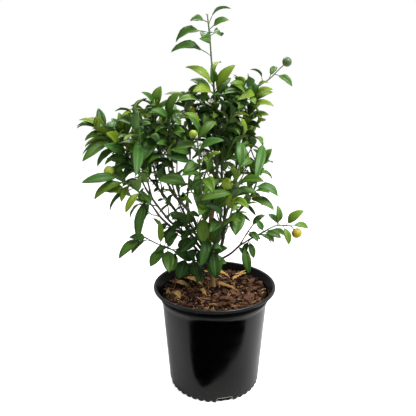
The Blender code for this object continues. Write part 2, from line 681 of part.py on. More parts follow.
def grow_leaf(space, dice, node, base, along, turn, end=False):
    # One leaf by rule: out from the stem, towards the outside of the crown and the light
    outward = Vector((base.x + 60.0, base.y, 0.0))
    outward = outward.normalized() if outward.length > 1.0 else Vector((0.0, -1.0, 0.0))
    side = along.orthogonal().normalized()
    for attempt in range(LEAF_TRIES):
        around = turn + dice.uniform(-0.5, 0.5) + attempt * 0.45
        spread = math.radians(dice.uniform(*TIP_ANGLE) if end else dice.uniform(*SIDE_ANGLE))
        ray = Matrix.Rotation(around, 3, along) @ side
        aim = along * math.cos(spread) + ray * math.sin(spread) + outward * OUTWARD_PULL
        aim.z += dice.uniform(*LEAF_RISE)
        length = dice.uniform(*LEAF_LENGTH) * (1.0 - 0.012 * attempt)
        tip = base + aim.normalized() * length
        up = Vector((0.0, 0.0, 1.0)) + outward * dice.uniform(0.2, 0.9)
        up += Vector((dice.uniform(-0.4, 0.4), dice.uniform(-0.6, 0.2), 0.0))
        leaf = dict(base=base, tip=tip, width=length * dice.uniform(*LEAF_WIDTH), up=up,
                    arch=dice.uniform(*LEAF_ARCH), fold=dice.uniform(*LEAF_FOLD), stalk=False)
        if abs(aim.normalized().dot(up.normalized())) < 0.9 and in_crown(tip):
            if try_leaf(space, node, leaf):
                return leaf
    return None


def plan_limbs():
    # Every limb's route, with the stretch that is bare wood and the stretch that bears leaves
    limbs = {}
    for name, data in LIMBS.items():
        route = smooth_route(data["route"], 32.0)
        total = length_of(route)
        bare = data["bare"] or data.get("stub", 0)
        wide, thin = data["radius"]
        here = wide + (thin - wide) * bare / total
        limbs[name] = dict(route=route, total=total, bare=bare, radii=data["radius"], cut=here,
                           wood=cut_route(route, 0.0, bare) if bare else None,
                           leafy=cut_route(route, bare + GAP if bare else 0.0, total))
    return limbs


def plan_side_shoots(space, dice, limbs):
    # Short shoots on the leafy stretches, every 60 mm or so, by the same golden turn as the leaves
    shoots = {}
    for name, limb in limbs.items():
        shoots[name] = []
        if name in STALKED:
            continue
        distance = limb["bare"] + SHOOT_FIRST
        turn = dice.uniform(0, math.tau)
        while distance < limb["total"] - SHOOT_LAST:
            base, along = point_at(limb["route"], distance)
            side = along.orthogonal().normalized()
            for attempt in range(SHOOT_TRIES):
                ray = Matrix.Rotation(turn + attempt * 0.7, 3, along) @ side
                aim = along * 0.75 + ray * 0.8 + Vector((0, 0, 0.2))
                reach = dice.uniform(*SHOOT_LENGTH)
                bend = aim.normalized() + Vector((0, 0, 0.5))
                middle = base + aim.normalized() * reach * 0.5
                tip = middle + bend.normalized() * reach * 0.5
                route = [base, middle, tip]
                grown = tube(route, SHOOT_RADIUS, 4, SHOOT_CLEAR)
                clear_part = tube([base.lerp(middle, 0.3), middle, tip], SHOOT_RADIUS, 4, SHOOT_CLEAR)
                if in_crown(tip) and space.free(name, grown, clear_part):
                    space.add(name, grown, grown)
                    shoots[name].append(route)
                    break
            turn += math.radians(GOLDEN_TURN)
            distance += dice.uniform(*SHOOT_SPACING)
    return shoots


def plan_foliage(space, dice, limbs, shoots):
    leaves = {name: [] for name in limbs}
    for name, rows in SEEN_LEAVES.items():
        for row in rows:
            leaf = grow_seen_leaf(space, dice, name, limbs[name]["route"], row)
            leaves[name].append(leaf)
            if not leaf:
                print("no room for a leaf on", name, "at", row[0])
    for name, limb in limbs.items():
        if name in STALKED:
            continue
        stems = [(limb["leafy"], 12.0)] + [(route, 14.0) for route in shoots[name]]
        for route, first in stems:
            turn = dice.uniform(0, math.tau)
            distance = first
            total = length_of(route)
            while distance < total - 1.5:
                base, along = point_at(route, distance)
                leaves[name].append(grow_leaf(space, dice, name, base, along, turn))
                turn += math.radians(GOLDEN_TURN)
                distance += LEAF_SPACING * dice.uniform(0.8, 1.2)
            base, along = point_at(route, total - 1.2)
            leaves[name].append(grow_leaf(space, dice, name, base, along, turn, end=True))
    return {name: [leaf for leaf in rows if leaf] for name, rows in leaves.items()}


def fruit_stalk(limbs, limb, distance, centre, diameter):
    # From the limb's axis to just short of the fruit, straight towards its middle
    start = point_at(limbs[limb]["route"], min(distance, limbs[limb]["total"]))[0]
    aim = (Vector(centre) - start).normalized()
    return start, Vector(centre) - aim * (diameter / 2.0 + GAP), aim


def ball(centre, diameter, aim, grow=0.0, rings=6, sides=8):
    # A slightly flattened ball whose pole looks down its stalk
    turn = aim.to_track_quat("Z", "Y").to_matrix()
    radius = diameter / 2.0 + grow
    verts = [Vector(centre) + turn @ Vector((0, 0, -radius))]
    for k in range(1, rings):
        polar = math.pi * k / rings
        for n in range(sides):
            around = math.tau * n / sides
            verts.append(Vector(centre) + turn @ Vector((
                radius * 1.06 * math.sin(polar) * math.cos(around),
                radius * 1.06 * math.sin(polar) * math.sin(around), -radius * math.cos(polar))))
    verts.append(Vector(centre) + turn @ Vector((0, 0, radius)))
    last = len(verts) - 1
    faces = []
    for n in range(sides):
        m = (n + 1) % sides
        faces.append((0, 1 + m, 1 + n))
        for k in range(rings - 2):
            low = 1 + k * sides
            faces.append((low + n, low + m, low + sides + m, low + sides + n))
        low = 1 + (rings - 2) * sides
        faces.append((last, low + n, low + m))
    return verts, faces


def make_pot():
    slope = (BODY_RADIUS - FOOT_RADIUS) / BODY_TOP
    inner_foot = FOOT_RADIUS - WALL + slope * FLOOR
    ledge = BODY_RADIUS + LEDGE_OUT
    flare = BODY_TOP + 16.0
    outside = [(0, 0), (FOOT_RADIUS - 2.0, 0), (FOOT_RADIUS, 2.0), (BODY_RADIUS, BODY_TOP),
               (ledge, BODY_TOP + 3.0), (ledge, BODY_TOP + 6.5), (BODY_RADIUS + NECK_OUT, BODY_TOP + 9.0),
               (BODY_RADIUS + FLARE_OUT, flare), (LIP_RADIUS - 3.5, POT_HEIGHT - LIP_EDGE - 3.0)]
    lip = [(LIP_RADIUS, POT_HEIGHT - LIP_EDGE), (LIP_RADIUS, POT_HEIGHT - 2.0),
           (LIP_RADIUS - 2.5, POT_HEIGHT), (LIP_RADIUS - 6.0, POT_HEIGHT - 1.5)]
    inside = [(BODY_RADIUS + FLARE_OUT - WALL, flare), (BODY_RADIUS - 0.2, BODY_TOP + 8.0),
              (BODY_RADIUS - WALL, BODY_TOP - 4.0), (inner_foot, FLOOR), (0, FLOOR)]
    pot = spun("pot", outside + lip + inside, "pot")
    for angle in DRAIN_ANGLES:
        turn = Matrix.Rotation(math.radians(angle), 3, "Z")
        half = DRAIN_WIDTH / 2.0
        corners = []
        inner, outer = FOOT_RADIUS - DRAIN_DEPTH, FOOT_RADIUS + 6.0
        for z, wide in ((-2.0, half), (DRAIN_HEIGHT, half - DRAIN_TAPER)):
            for x, y in ((inner, -wide), (outer, -wide), (outer, wide), (inner, wide)):
                corners.append(turn @ Vector((x, y, z)))
        sides = [(3, 2, 1, 0), (4, 5, 6, 7), (0, 1, 5, 4), (1, 2, 6, 5), (2, 3, 7, 6), (3, 0, 4, 7)]
        cutter = add_object("drain cutter", corners, sides, "pot")
        apply_boolean(pot, "DIFFERENCE", "EXACT", thing=cutter)
        bpy.data.objects.remove(cutter, do_unlink=True)
    finish_mesh(pot.data, "pot")
    return pot


def make_soil():
    slope = (BODY_RADIUS - FOOT_RADIUS) / BODY_TOP
    foot = FOOT_RADIUS - WALL + slope * FLOOR
    profile = [(0, FLOOR + GAP), (foot - SOIL_WALL_GAP, FLOOR + GAP),
               (BODY_RADIUS - WALL - SOIL_WALL_GAP, BODY_TOP - 4.0),
               (BODY_RADIUS - 0.6 - SOIL_WALL_GAP, SOIL_LEVEL - 2.5)]
    profile += [(radius, SOIL_LEVEL) for radius in SOIL_RINGS] + [(0, SOIL_LEVEL)]
    soil = spun("soil", profile, "soil")
    for v in soil.data.vertices:
        if v.co.z > (SOIL_LEVEL - 0.5) * MM:
            spot = v.co * 42.0
            v.co.z += SOIL_BUMP * MM * noise.noise(Vector((spot.x, spot.y, 3.7)))
    hole = [Vector((*TRUNK_SPOT, TRUNK_FOOT - GAP)), Vector((*TRUNK_SPOT, SOIL_LEVEL + 30.0))]
    cutter = add_object("trunk hole", *tube(hole, (TRUNK_RADIUS, TRUNK_RADIUS), 8, GAP), "soil")
    apply_boolean(soil, "DIFFERENCE", "EXACT", thing=cutter)
    bpy.data.objects.remove(cutter, do_unlink=True)
    finish_mesh(soil.data, "soil", 20.0)
    return soil


def make_trunk(limbs):
    route = smooth_route(TRUNK_ROUTE[2:], 22.0)
    route = [Vector(p) for p in TRUNK_ROUTE[:2]] + route
    trunk = add_object("trunk", *tube(route, (TRUNK_RADIUS, 5.0), 8), "trunk")
    parts = []
    for limb in limbs.values():
        if limb["wood"]:
            sides = 5 if limb["radii"][0] > 2.5 else 4
            parts.append(tube(limb["wood"], (limb["radii"][0], limb["cut"]), sides))
    fuse(trunk, parts, "trunk")
    return trunk


def make_spray(name, limb, shoots, leaves, stalks):
    radii = (limb["cut"], limb["radii"][1])
    spray = add_object("spray_" + name, *tube(limb["leafy"], radii, 4), "spray")
    parts = [tube(route, SHOOT_RADIUS, 4) for route in shoots]
    parts += [tube([start, end], (STALK_RADIUS, STALK_RADIUS), 4) for start, end in stalks]
    parts += [leaf_mesh(leaf) for leaf in leaves]
    if parts:
        fuse(spray, parts, "spray")
    return spray


def litter_mesh(length, width, kind):
    # A curled dry leaf, a twisted strip or a thick chip of bark, about its own middle
    thick = {"leaf": 1.2, "strip": 2.0, "bark": 3.2}[kind]
    curl = {"leaf": 5.0, "strip": 2.5, "bark": 0.8}[kind]
    shape = {"leaf": (0.15, 0.8, 1.0, 0.6, 0.1), "strip": (0.6, 1.0, 0.7, 1.0, 0.5),
             "bark": (0.7, 1.0, 0.9, 1.0, 0.5)}[kind]
    verts = []
    for k, wide in enumerate(shape):
        share = k / (len(shape) - 1)
        x = length * (share - 0.5)
        lift = curl * (1.0 - (2.0 * share - 1.0) ** 2)
        half = wide * width / 2.0
        sag = 0.25 * half if kind == "leaf" else 0.0
        verts += [Vector((x, -half, lift - sag)), Vector((x, half, lift - sag)),
                  Vector((x, half, lift - sag + thick)), Vector((x, -half, lift - sag + thick))]
    faces = [(3, 2, 1, 0)]
    for k in range(len(shape) - 1):
        low = 4 * k
        for n in range(4):
            m = (n + 1) % 4
            faces.append((low + n, low + m, low + 4 + n))
            faces.append((low + m, low + 4 + m, low + 4 + n))
    last = 4 * (len(shape) - 1)
    faces.append((last, last + 1, last + 2, last + 3))
    return verts, faces


def lowest_gap(verts, faces, floor_tree, floor_verts):
    # The smallest height between a piece and the ground under it, both ways round
    down = Vector((0, 0, -1))
    tree = BVHTree.FromPolygons(verts, faces)
    gaps = []
    for v in verts:
        hit = floor_tree.ray_cast(v, down)
        if hit[0]:
            gaps.append(hit[3])
    for v in floor_verts:
        hit = tree.ray_cast(v, -down)
        if hit[0]:
            gaps.append(hit[3])
    return min(gaps)


def make_litter(soil):
    mesh = soil.data
    ground = [v.co / MM for v in mesh.vertices]
    tree = BVHTree.FromPolygons(ground, [tuple(p.vertices) for p in mesh.polygons])
    axis = [Vector((*TRUNK_SPOT, SOIL_LEVEL - 20.0)), Vector((*TRUNK_SPOT, SOIL_LEVEL + 80.0))]
    stem = BVHTree.FromPolygons(*tube(axis, (TRUNK_RADIUS, TRUNK_RADIUS), 8, 2.0))
    for name, ((x, y), length, width, turn, kind) in LITTER.items():
        verts, faces = litter_mesh(length, width, kind)
        place = Matrix.Translation((x, y, SOIL_LEVEL + 20.0)) @ Matrix.Rotation(math.radians(turn), 4, "Z")
        verts = [place @ v for v in verts]
        drop = lowest_gap(verts, faces, tree, ground) - GAP
        verts = [v - Vector((0, 0, drop)) for v in verts]
        if stem.overlap(BVHTree.FromPolygons(verts, faces)):
            print("litter meets the trunk:", name)
        add_object(name, verts, faces, kind)


def make_fruits(limbs):
    for name, (limb, distance, centre, diameter, colour) in FRUITS.items():
        aim = fruit_stalk(limbs, limb, distance, centre, diameter)[2]
        add_object(name, *ball(centre, diameter, aim), colour, 60.0)


def make_bud(limbs):
    tip, along = point_at(limbs["top_shoot"]["route"], limbs["top_shoot"]["total"])
    add_object("flower_bud", *ball(tip + along * (2.6 + GAP), 5.2, along, rings=4, sides=6), "bud", 60.0)


def main():
    clear_scene()
    dice = random.Random(SEED)
    limbs = plan_limbs()
    space = Space()
    space.add("trunk", *[tube([Vector(p) for p in TRUNK_ROUTE], (7, 6), 8)] * 2)
    for name, limb in limbs.items():
        if limb["wood"]:
            wood = tube(limb["wood"], (limb["radii"][0], limb["cut"]), 5, 0.6)
            space.add("trunk", wood, wood)
        leafy = tube(limb["leafy"], (limb["cut"], limb["radii"][1]), 4, 0.6)
        space.add(name, leafy, leafy)
    stalks = {name: [] for name in limbs}
    for name, (limb, distance, centre, diameter, colour) in FRUITS.items():
        start, end, aim = fruit_stalk(limbs, limb, distance, centre, diameter)
        fruit = ball(centre, diameter, aim, 1.2)
        space.add(name, fruit, fruit)
        stalk = tube([start, end], (STALK_RADIUS, STALK_RADIUS), 4)
        space.add(limb, stalk, stalk)
        stalks[limb].append((start, end))
    shoots = plan_side_shoots(space, dice, limbs)
    leaves = plan_foliage(space, dice, limbs, shoots)
    make_pot()
    soil = make_soil()
    make_litter(soil)
    make_trunk(limbs)
    for name, limb in limbs.items():
        make_spray(name, limb, shoots[name], leaves[name], stalks[name])
    make_fruits(limbs)
    make_bud(limbs)
    print("leaves", sum(len(rows) for rows in leaves.values()),
          "side shoots", sum(len(rows) for rows in shoots.values()))


main()
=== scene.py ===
import math
import random

import bmesh
import bpy
from mathutils import Matrix, Vector, noise
from mathutils.bvhtree import BVHTree


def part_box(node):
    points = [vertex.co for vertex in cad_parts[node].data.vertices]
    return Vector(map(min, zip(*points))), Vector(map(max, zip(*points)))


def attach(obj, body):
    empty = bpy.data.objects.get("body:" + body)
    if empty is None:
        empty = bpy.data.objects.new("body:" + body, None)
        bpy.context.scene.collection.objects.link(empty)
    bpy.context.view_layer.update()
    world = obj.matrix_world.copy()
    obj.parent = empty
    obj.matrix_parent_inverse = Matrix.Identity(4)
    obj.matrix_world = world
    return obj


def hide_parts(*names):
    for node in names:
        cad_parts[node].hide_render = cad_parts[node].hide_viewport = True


# A potted calamondin: a bushy young citrus tree in a black plastic nursery pot.
# The plan is in millimetres and degrees, and mm turns it into metres. +Z is up, -Y faces the viewer.
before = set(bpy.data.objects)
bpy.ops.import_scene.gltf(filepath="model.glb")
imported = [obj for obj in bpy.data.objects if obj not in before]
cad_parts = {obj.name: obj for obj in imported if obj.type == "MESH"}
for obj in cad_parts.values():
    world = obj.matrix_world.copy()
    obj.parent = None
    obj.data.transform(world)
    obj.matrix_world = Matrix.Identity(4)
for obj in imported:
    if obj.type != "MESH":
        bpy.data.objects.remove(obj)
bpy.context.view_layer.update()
mm = 0.001
gap = 0.3            # clearance between two solids that touch
seed = 11
goldenTurn = 137.5   # from each leaf to the next round its stem
print("frame loaded:", len(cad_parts), "nodes")

potShape = dict(height=241.0, lipRadius=140.0, bodyRadius=121.5, bodyTop=210.0, footRadius=106.0, wall=2.2,
                floor=3.0, ledgeOut=4.2, neckOut=1.0, flareOut=4.5, flareAbove=16.0, lipEdge=6.0, steps=504,
                drainWidth=41.0, drainHeight=11.5, drainTaper=4.0, drainDepth=5.5, drainCorner=2.5,
                drainAngles=(-78.0, 12.0, 102.0, 192.0), drainBead=0.7, lobes=42, lobeOut=2.4, lobeNotch=3.4,
                lobeTop=9.0, mouthRadius=108.0, lipClear=6.0, sharp=40.0)
# How much wider the body gets for each millimetre up
potSlope = (potShape["bodyRadius"] - potShape["footRadius"]) / potShape["bodyTop"]
soilShape = dict(level=219.0, bump=3.0, bumpScale=42.0, wallGap=0.5, rings=46, steps=150, leafClear=12.0,
                 fine=1.8, fineScale=150.0, rise=5.5, riseFrom=92.0, riseOver=26.0, riseOut=0.015)
trunkShape = dict(radius=6.2, forkRadius=5.0, spot=(-3, 22), sides=24, step=5.0, rootFlare=2.6,
                  flareHeight=13.0,
                  route=((-3, 22, 150.0), (-3, 22, 205), (-3, 22, 222), (-5, 20, 258), (-12, 18, 290),
                         (-14, 15, 312)))

# How a leaf grows: the rough blade's stations, and the limits that the rule draws from
leafRule = dict(bladeStations=((0.0, 0.05), (0.33, 0.88), (0.66, 0.92)),
                stalkedStations=((0.0, 0.05), (0.15, 0.06), (0.42, 0.94), (0.71, 0.86)),
                stalkHalf=0.6, ribThick=1.3, stalkThick=1.1, root=0.15, clear=0.5, tries=26,
                first=12.0, firstOnShoot=14.0, end=1.5, tip=1.2, spacing=33.0, spacingVary=(0.8, 1.2),
                length=(44.0, 60.0), shrink=0.012, width=(0.38, 0.48), arch=(0.08, 0.2), fold=(0.3, 0.6),
                sideAngle=(45, 80), tipAngle=(12, 35), turnVary=(-0.5, 0.5), turnStep=0.45,
                outwardPull=0.35, rise=(-0.35, 0.15), upOutward=(0.2, 0.9), upAcross=(-0.4, 0.4),
                upForward=(-0.6, 0.2), steepest=0.9)
shootRule = dict(first=18.0, last=45.0, spacing=(50, 64), length=(44, 66), radius=(1.5, 1.2), clear=1.2,
                 tries=30, turnStep=0.7, forward=0.75, outward=0.8, lift=0.2, tipLift=0.5, root=0.3)

# The crown's outline seen from the front: height, left edge and right edge
crownOutline = ((270, -60, 50), (300, -110, 66), (340, -150, 82), (380, -160, 96), (415, -215, 98),
                (450, -238, 118), (485, -245, 106), (520, -248, 92), (550, -272, 84), (590, -274, 86),
                (612, -274, 96), (630, -236, 90), (650, -158, 98), (668, -112, 104), (688, -66, 82),
                (712, -58, 36), (735, -40, 14))
crownDepth = 158.0        # from the middle to the front and to the back
crownMiddle = -60.0       # the crown leans to the left, so its leaves turn out from here

# Limbs: where each grows, by its own route, what bare length belongs to the trunk's solid,
# and its radius at the start and at the tip
limbTable = {
    "leader": dict(bare=126, radius=(5.3, 2.2), route=(
        (-13, 17, 302), (-13, 14, 330), (-10, 12, 360), (-6, 10, 407), (1, 12, 457),
        (5, 10, 513), (2, 8, 568), (0, 5, 636))),
    "top_shoot": dict(bare=0, radius=(2.2, 1.3), route=(
        (0, 5, 636.3), (-3, 5, 681), (-7, 5, 721), (-10, 5, 759), (-12, 5, 782), (-16, 5, 815))),
    "left_high": dict(bare=182, radius=(3.2, 1.4), route=(
        (-14, 15, 312), (-29, 8, 343), (-40, 0, 375), (-55, -5, 411), (-79, -5, 438),
        (-100, -5, 465), (-108, -2, 500), (-118, 0, 547), (-125, 0, 600), (-128, 0, 640))),
    "left_between": dict(bare=24, radius=(1.9, 1.3), route=(
        (-73, -5, 433), (-83, -14, 470), (-90, -24, 520), (-94, -30, 570), (-92, -32, 614))),
    "left_inner": dict(bare=26, radius=(2.0, 1.3), route=(
        (-62, -5, 419), (-60, -1, 445), (-57, 5, 480), (-54, 12, 530), (-56, 20, 600),
        (-53, 20, 650))),
    "left_back": dict(bare=216, radius=(3.0, 1.4), route=(
        (-13, 17, 298), (-30, 20, 315), (-61, 25, 360), (-75, 30, 381), (-96, 35, 413),
        (-114, 40, 435), (-137, 45, 465), (-157, 45, 488), (-176, 45, 520), (-193, 45, 547),
        (-207, 45, 575))),
    "left_back_upper": dict(bare=24, radius=(1.9, 1.3), route=(
        (-130, 43, 456), (-140, 56, 500), (-150, 68, 552), (-156, 72, 605))),
    "left_front": dict(bare=190, radius=(2.6, 1.3), route=(
        (-12, 18, 290), (-27, 10, 303), (-51, 0, 335), (-70, -15, 361), (-106, -30, 393),
        (-127, -40, 425), (-143, -45, 450), (-160, -50, 467), (-194, -60, 495), (-204, -60, 503))),
    "left_outer": dict(bare=156, radius=(2.2, 1.3), route=(
        (-58, -5, 345), (-72, -2, 366), (-99, -10, 391), (-117, -15, 417), (-142, -20, 455),
        (-154, -20, 479), (-168, -20, 511), (-187, -20, 539), (-236, -20, 590))),
    "left_middle": dict(bare=20, radius=(1.8, 1.3), route=(
        (-137, -19, 447), (-145, -28, 497), (-155, -34, 548), (-162, -36, 600), (-164, -36, 625))),
    "low_left": dict(bare=36, radius=(1.9, 1.2), route=(
        (-9, 19, 276), (-24, 10, 284), (-40, 0, 294), (-62, -15, 309), (-85, -30, 327),
        (-106, -40, 342), (-129, -45, 353), (-151, -50, 368))),
    "low_right": dict(bare=104, radius=(2.2, 1.2), route=(
        (-9, 19, 278), (19, 0, 301), (41, -10, 319), (54, -20, 337), (64, -25, 350),
        (88, -30, 361), (104, -35, 374), (117, -35, 376), (131, -35, 388), (148, -35, 392),
        (164, -35, 388))),
    "low_right_twig": dict(bare=0, stub=8, radius=(1.5, 1.2), route=(
        (56, -21, 340), (66, -20, 358), (77, -22, 378), (86, -25, 392))),
    "low_centre": dict(bare=0, stub=11, radius=(1.8, 1.2), route=(
        (-9, 19, 274), (-8, 3, 286), (-6, -12, 304), (-5, -24, 326), (-4, -33, 347))),
    "low_centre_left": dict(bare=0, stub=11, radius=(1.8, 1.2), route=(
        (-5, 20, 262), (-17, 8, 268), (-30, -4, 279), (-44, -14, 296), (-52, -18, 318))),
    "left_low_twig": dict(bare=0, stub=6, radius=(1.4, 1.2), route=(
        (-36, 4, 362), (-46, -10, 368), (-58, -22, 380), (-66, -30, 398))),
    "right_inner": dict(bare=150, radius=(3.4, 1.4), route=(
        (-13, 18, 292), (-4, 18, 299), (8, 20, 308), (15, 25, 319), (22, 30, 349), (23, 35, 382),
        (24, 35, 417), (21, 35, 446), (17, 35, 487), (14, 35, 532), (16, 35, 577), (24, 35, 613),
        (33, 35, 651))),
    "right_high": dict(bare=62, radius=(2.2, 1.2), route=(
        (23, 35, 380), (31, 25, 417), (35, 20, 442), (43, 15, 479), (51, 15, 524), (61, 15, 567),
        (75, 15, 631), (80, 15, 655), (92, 15, 680), (107, 15, 689), (123, 15, 702),
        (136, 15, 716))),
    "back_middle": dict(bare=80, radius=(2.4, 1.4), route=(
        (21, 29, 340), (18, 45, 352), (14, 62, 387), (7, 80, 419), (0, 95, 465), (-5, 110, 511),
        (-10, 118, 558), (-12, 120, 600))),
    "right_outer": dict(bare=48, radius=(2.2, 1.3), route=(
        (23, 33, 366), (41, 15, 392), (58, -10, 422), (72, -20, 440), (83, -25, 465),
        (90, -30, 492), (96, -30, 524), (99, -27, 566))),
    "front_left": dict(bare=96, radius=(2.6, 1.3), route=(
        (-14, 16, 306), (-19, -10, 348), (-23, -40, 391), (-25, -70, 432), (-27, -90, 468),
        (-30, -105, 511), (-32, -110, 550), (-35, -110, 578))),
    "front_right": dict(bare=92, radius=(2.6, 1.3), route=(
        (-13, 17, 301), (-5, 0, 322), (5, -20, 351), (17, -55, 402), (27, -80, 445),
        (36, -95, 479), (43, -100, 510), (46, -100, 548), (46, -95, 576))),
    "back_left": dict(bare=140, radius=(2.8, 1.4), route=(
        (-14, 15, 305), (-43, 50, 340), (-71, 90, 379), (-95, 120, 422), (-110, 130, 470),
        (-114, 132, 520), (-118, 130, 575))),
    "back_right": dict(bare=82, radius=(2.8, 1.4), route=(
        (-12, 18, 300), (19, 60, 337), (40, 92, 378), (50, 108, 422), (54, 112, 470),
        (52, 112, 520), (46, 108, 575))),
}

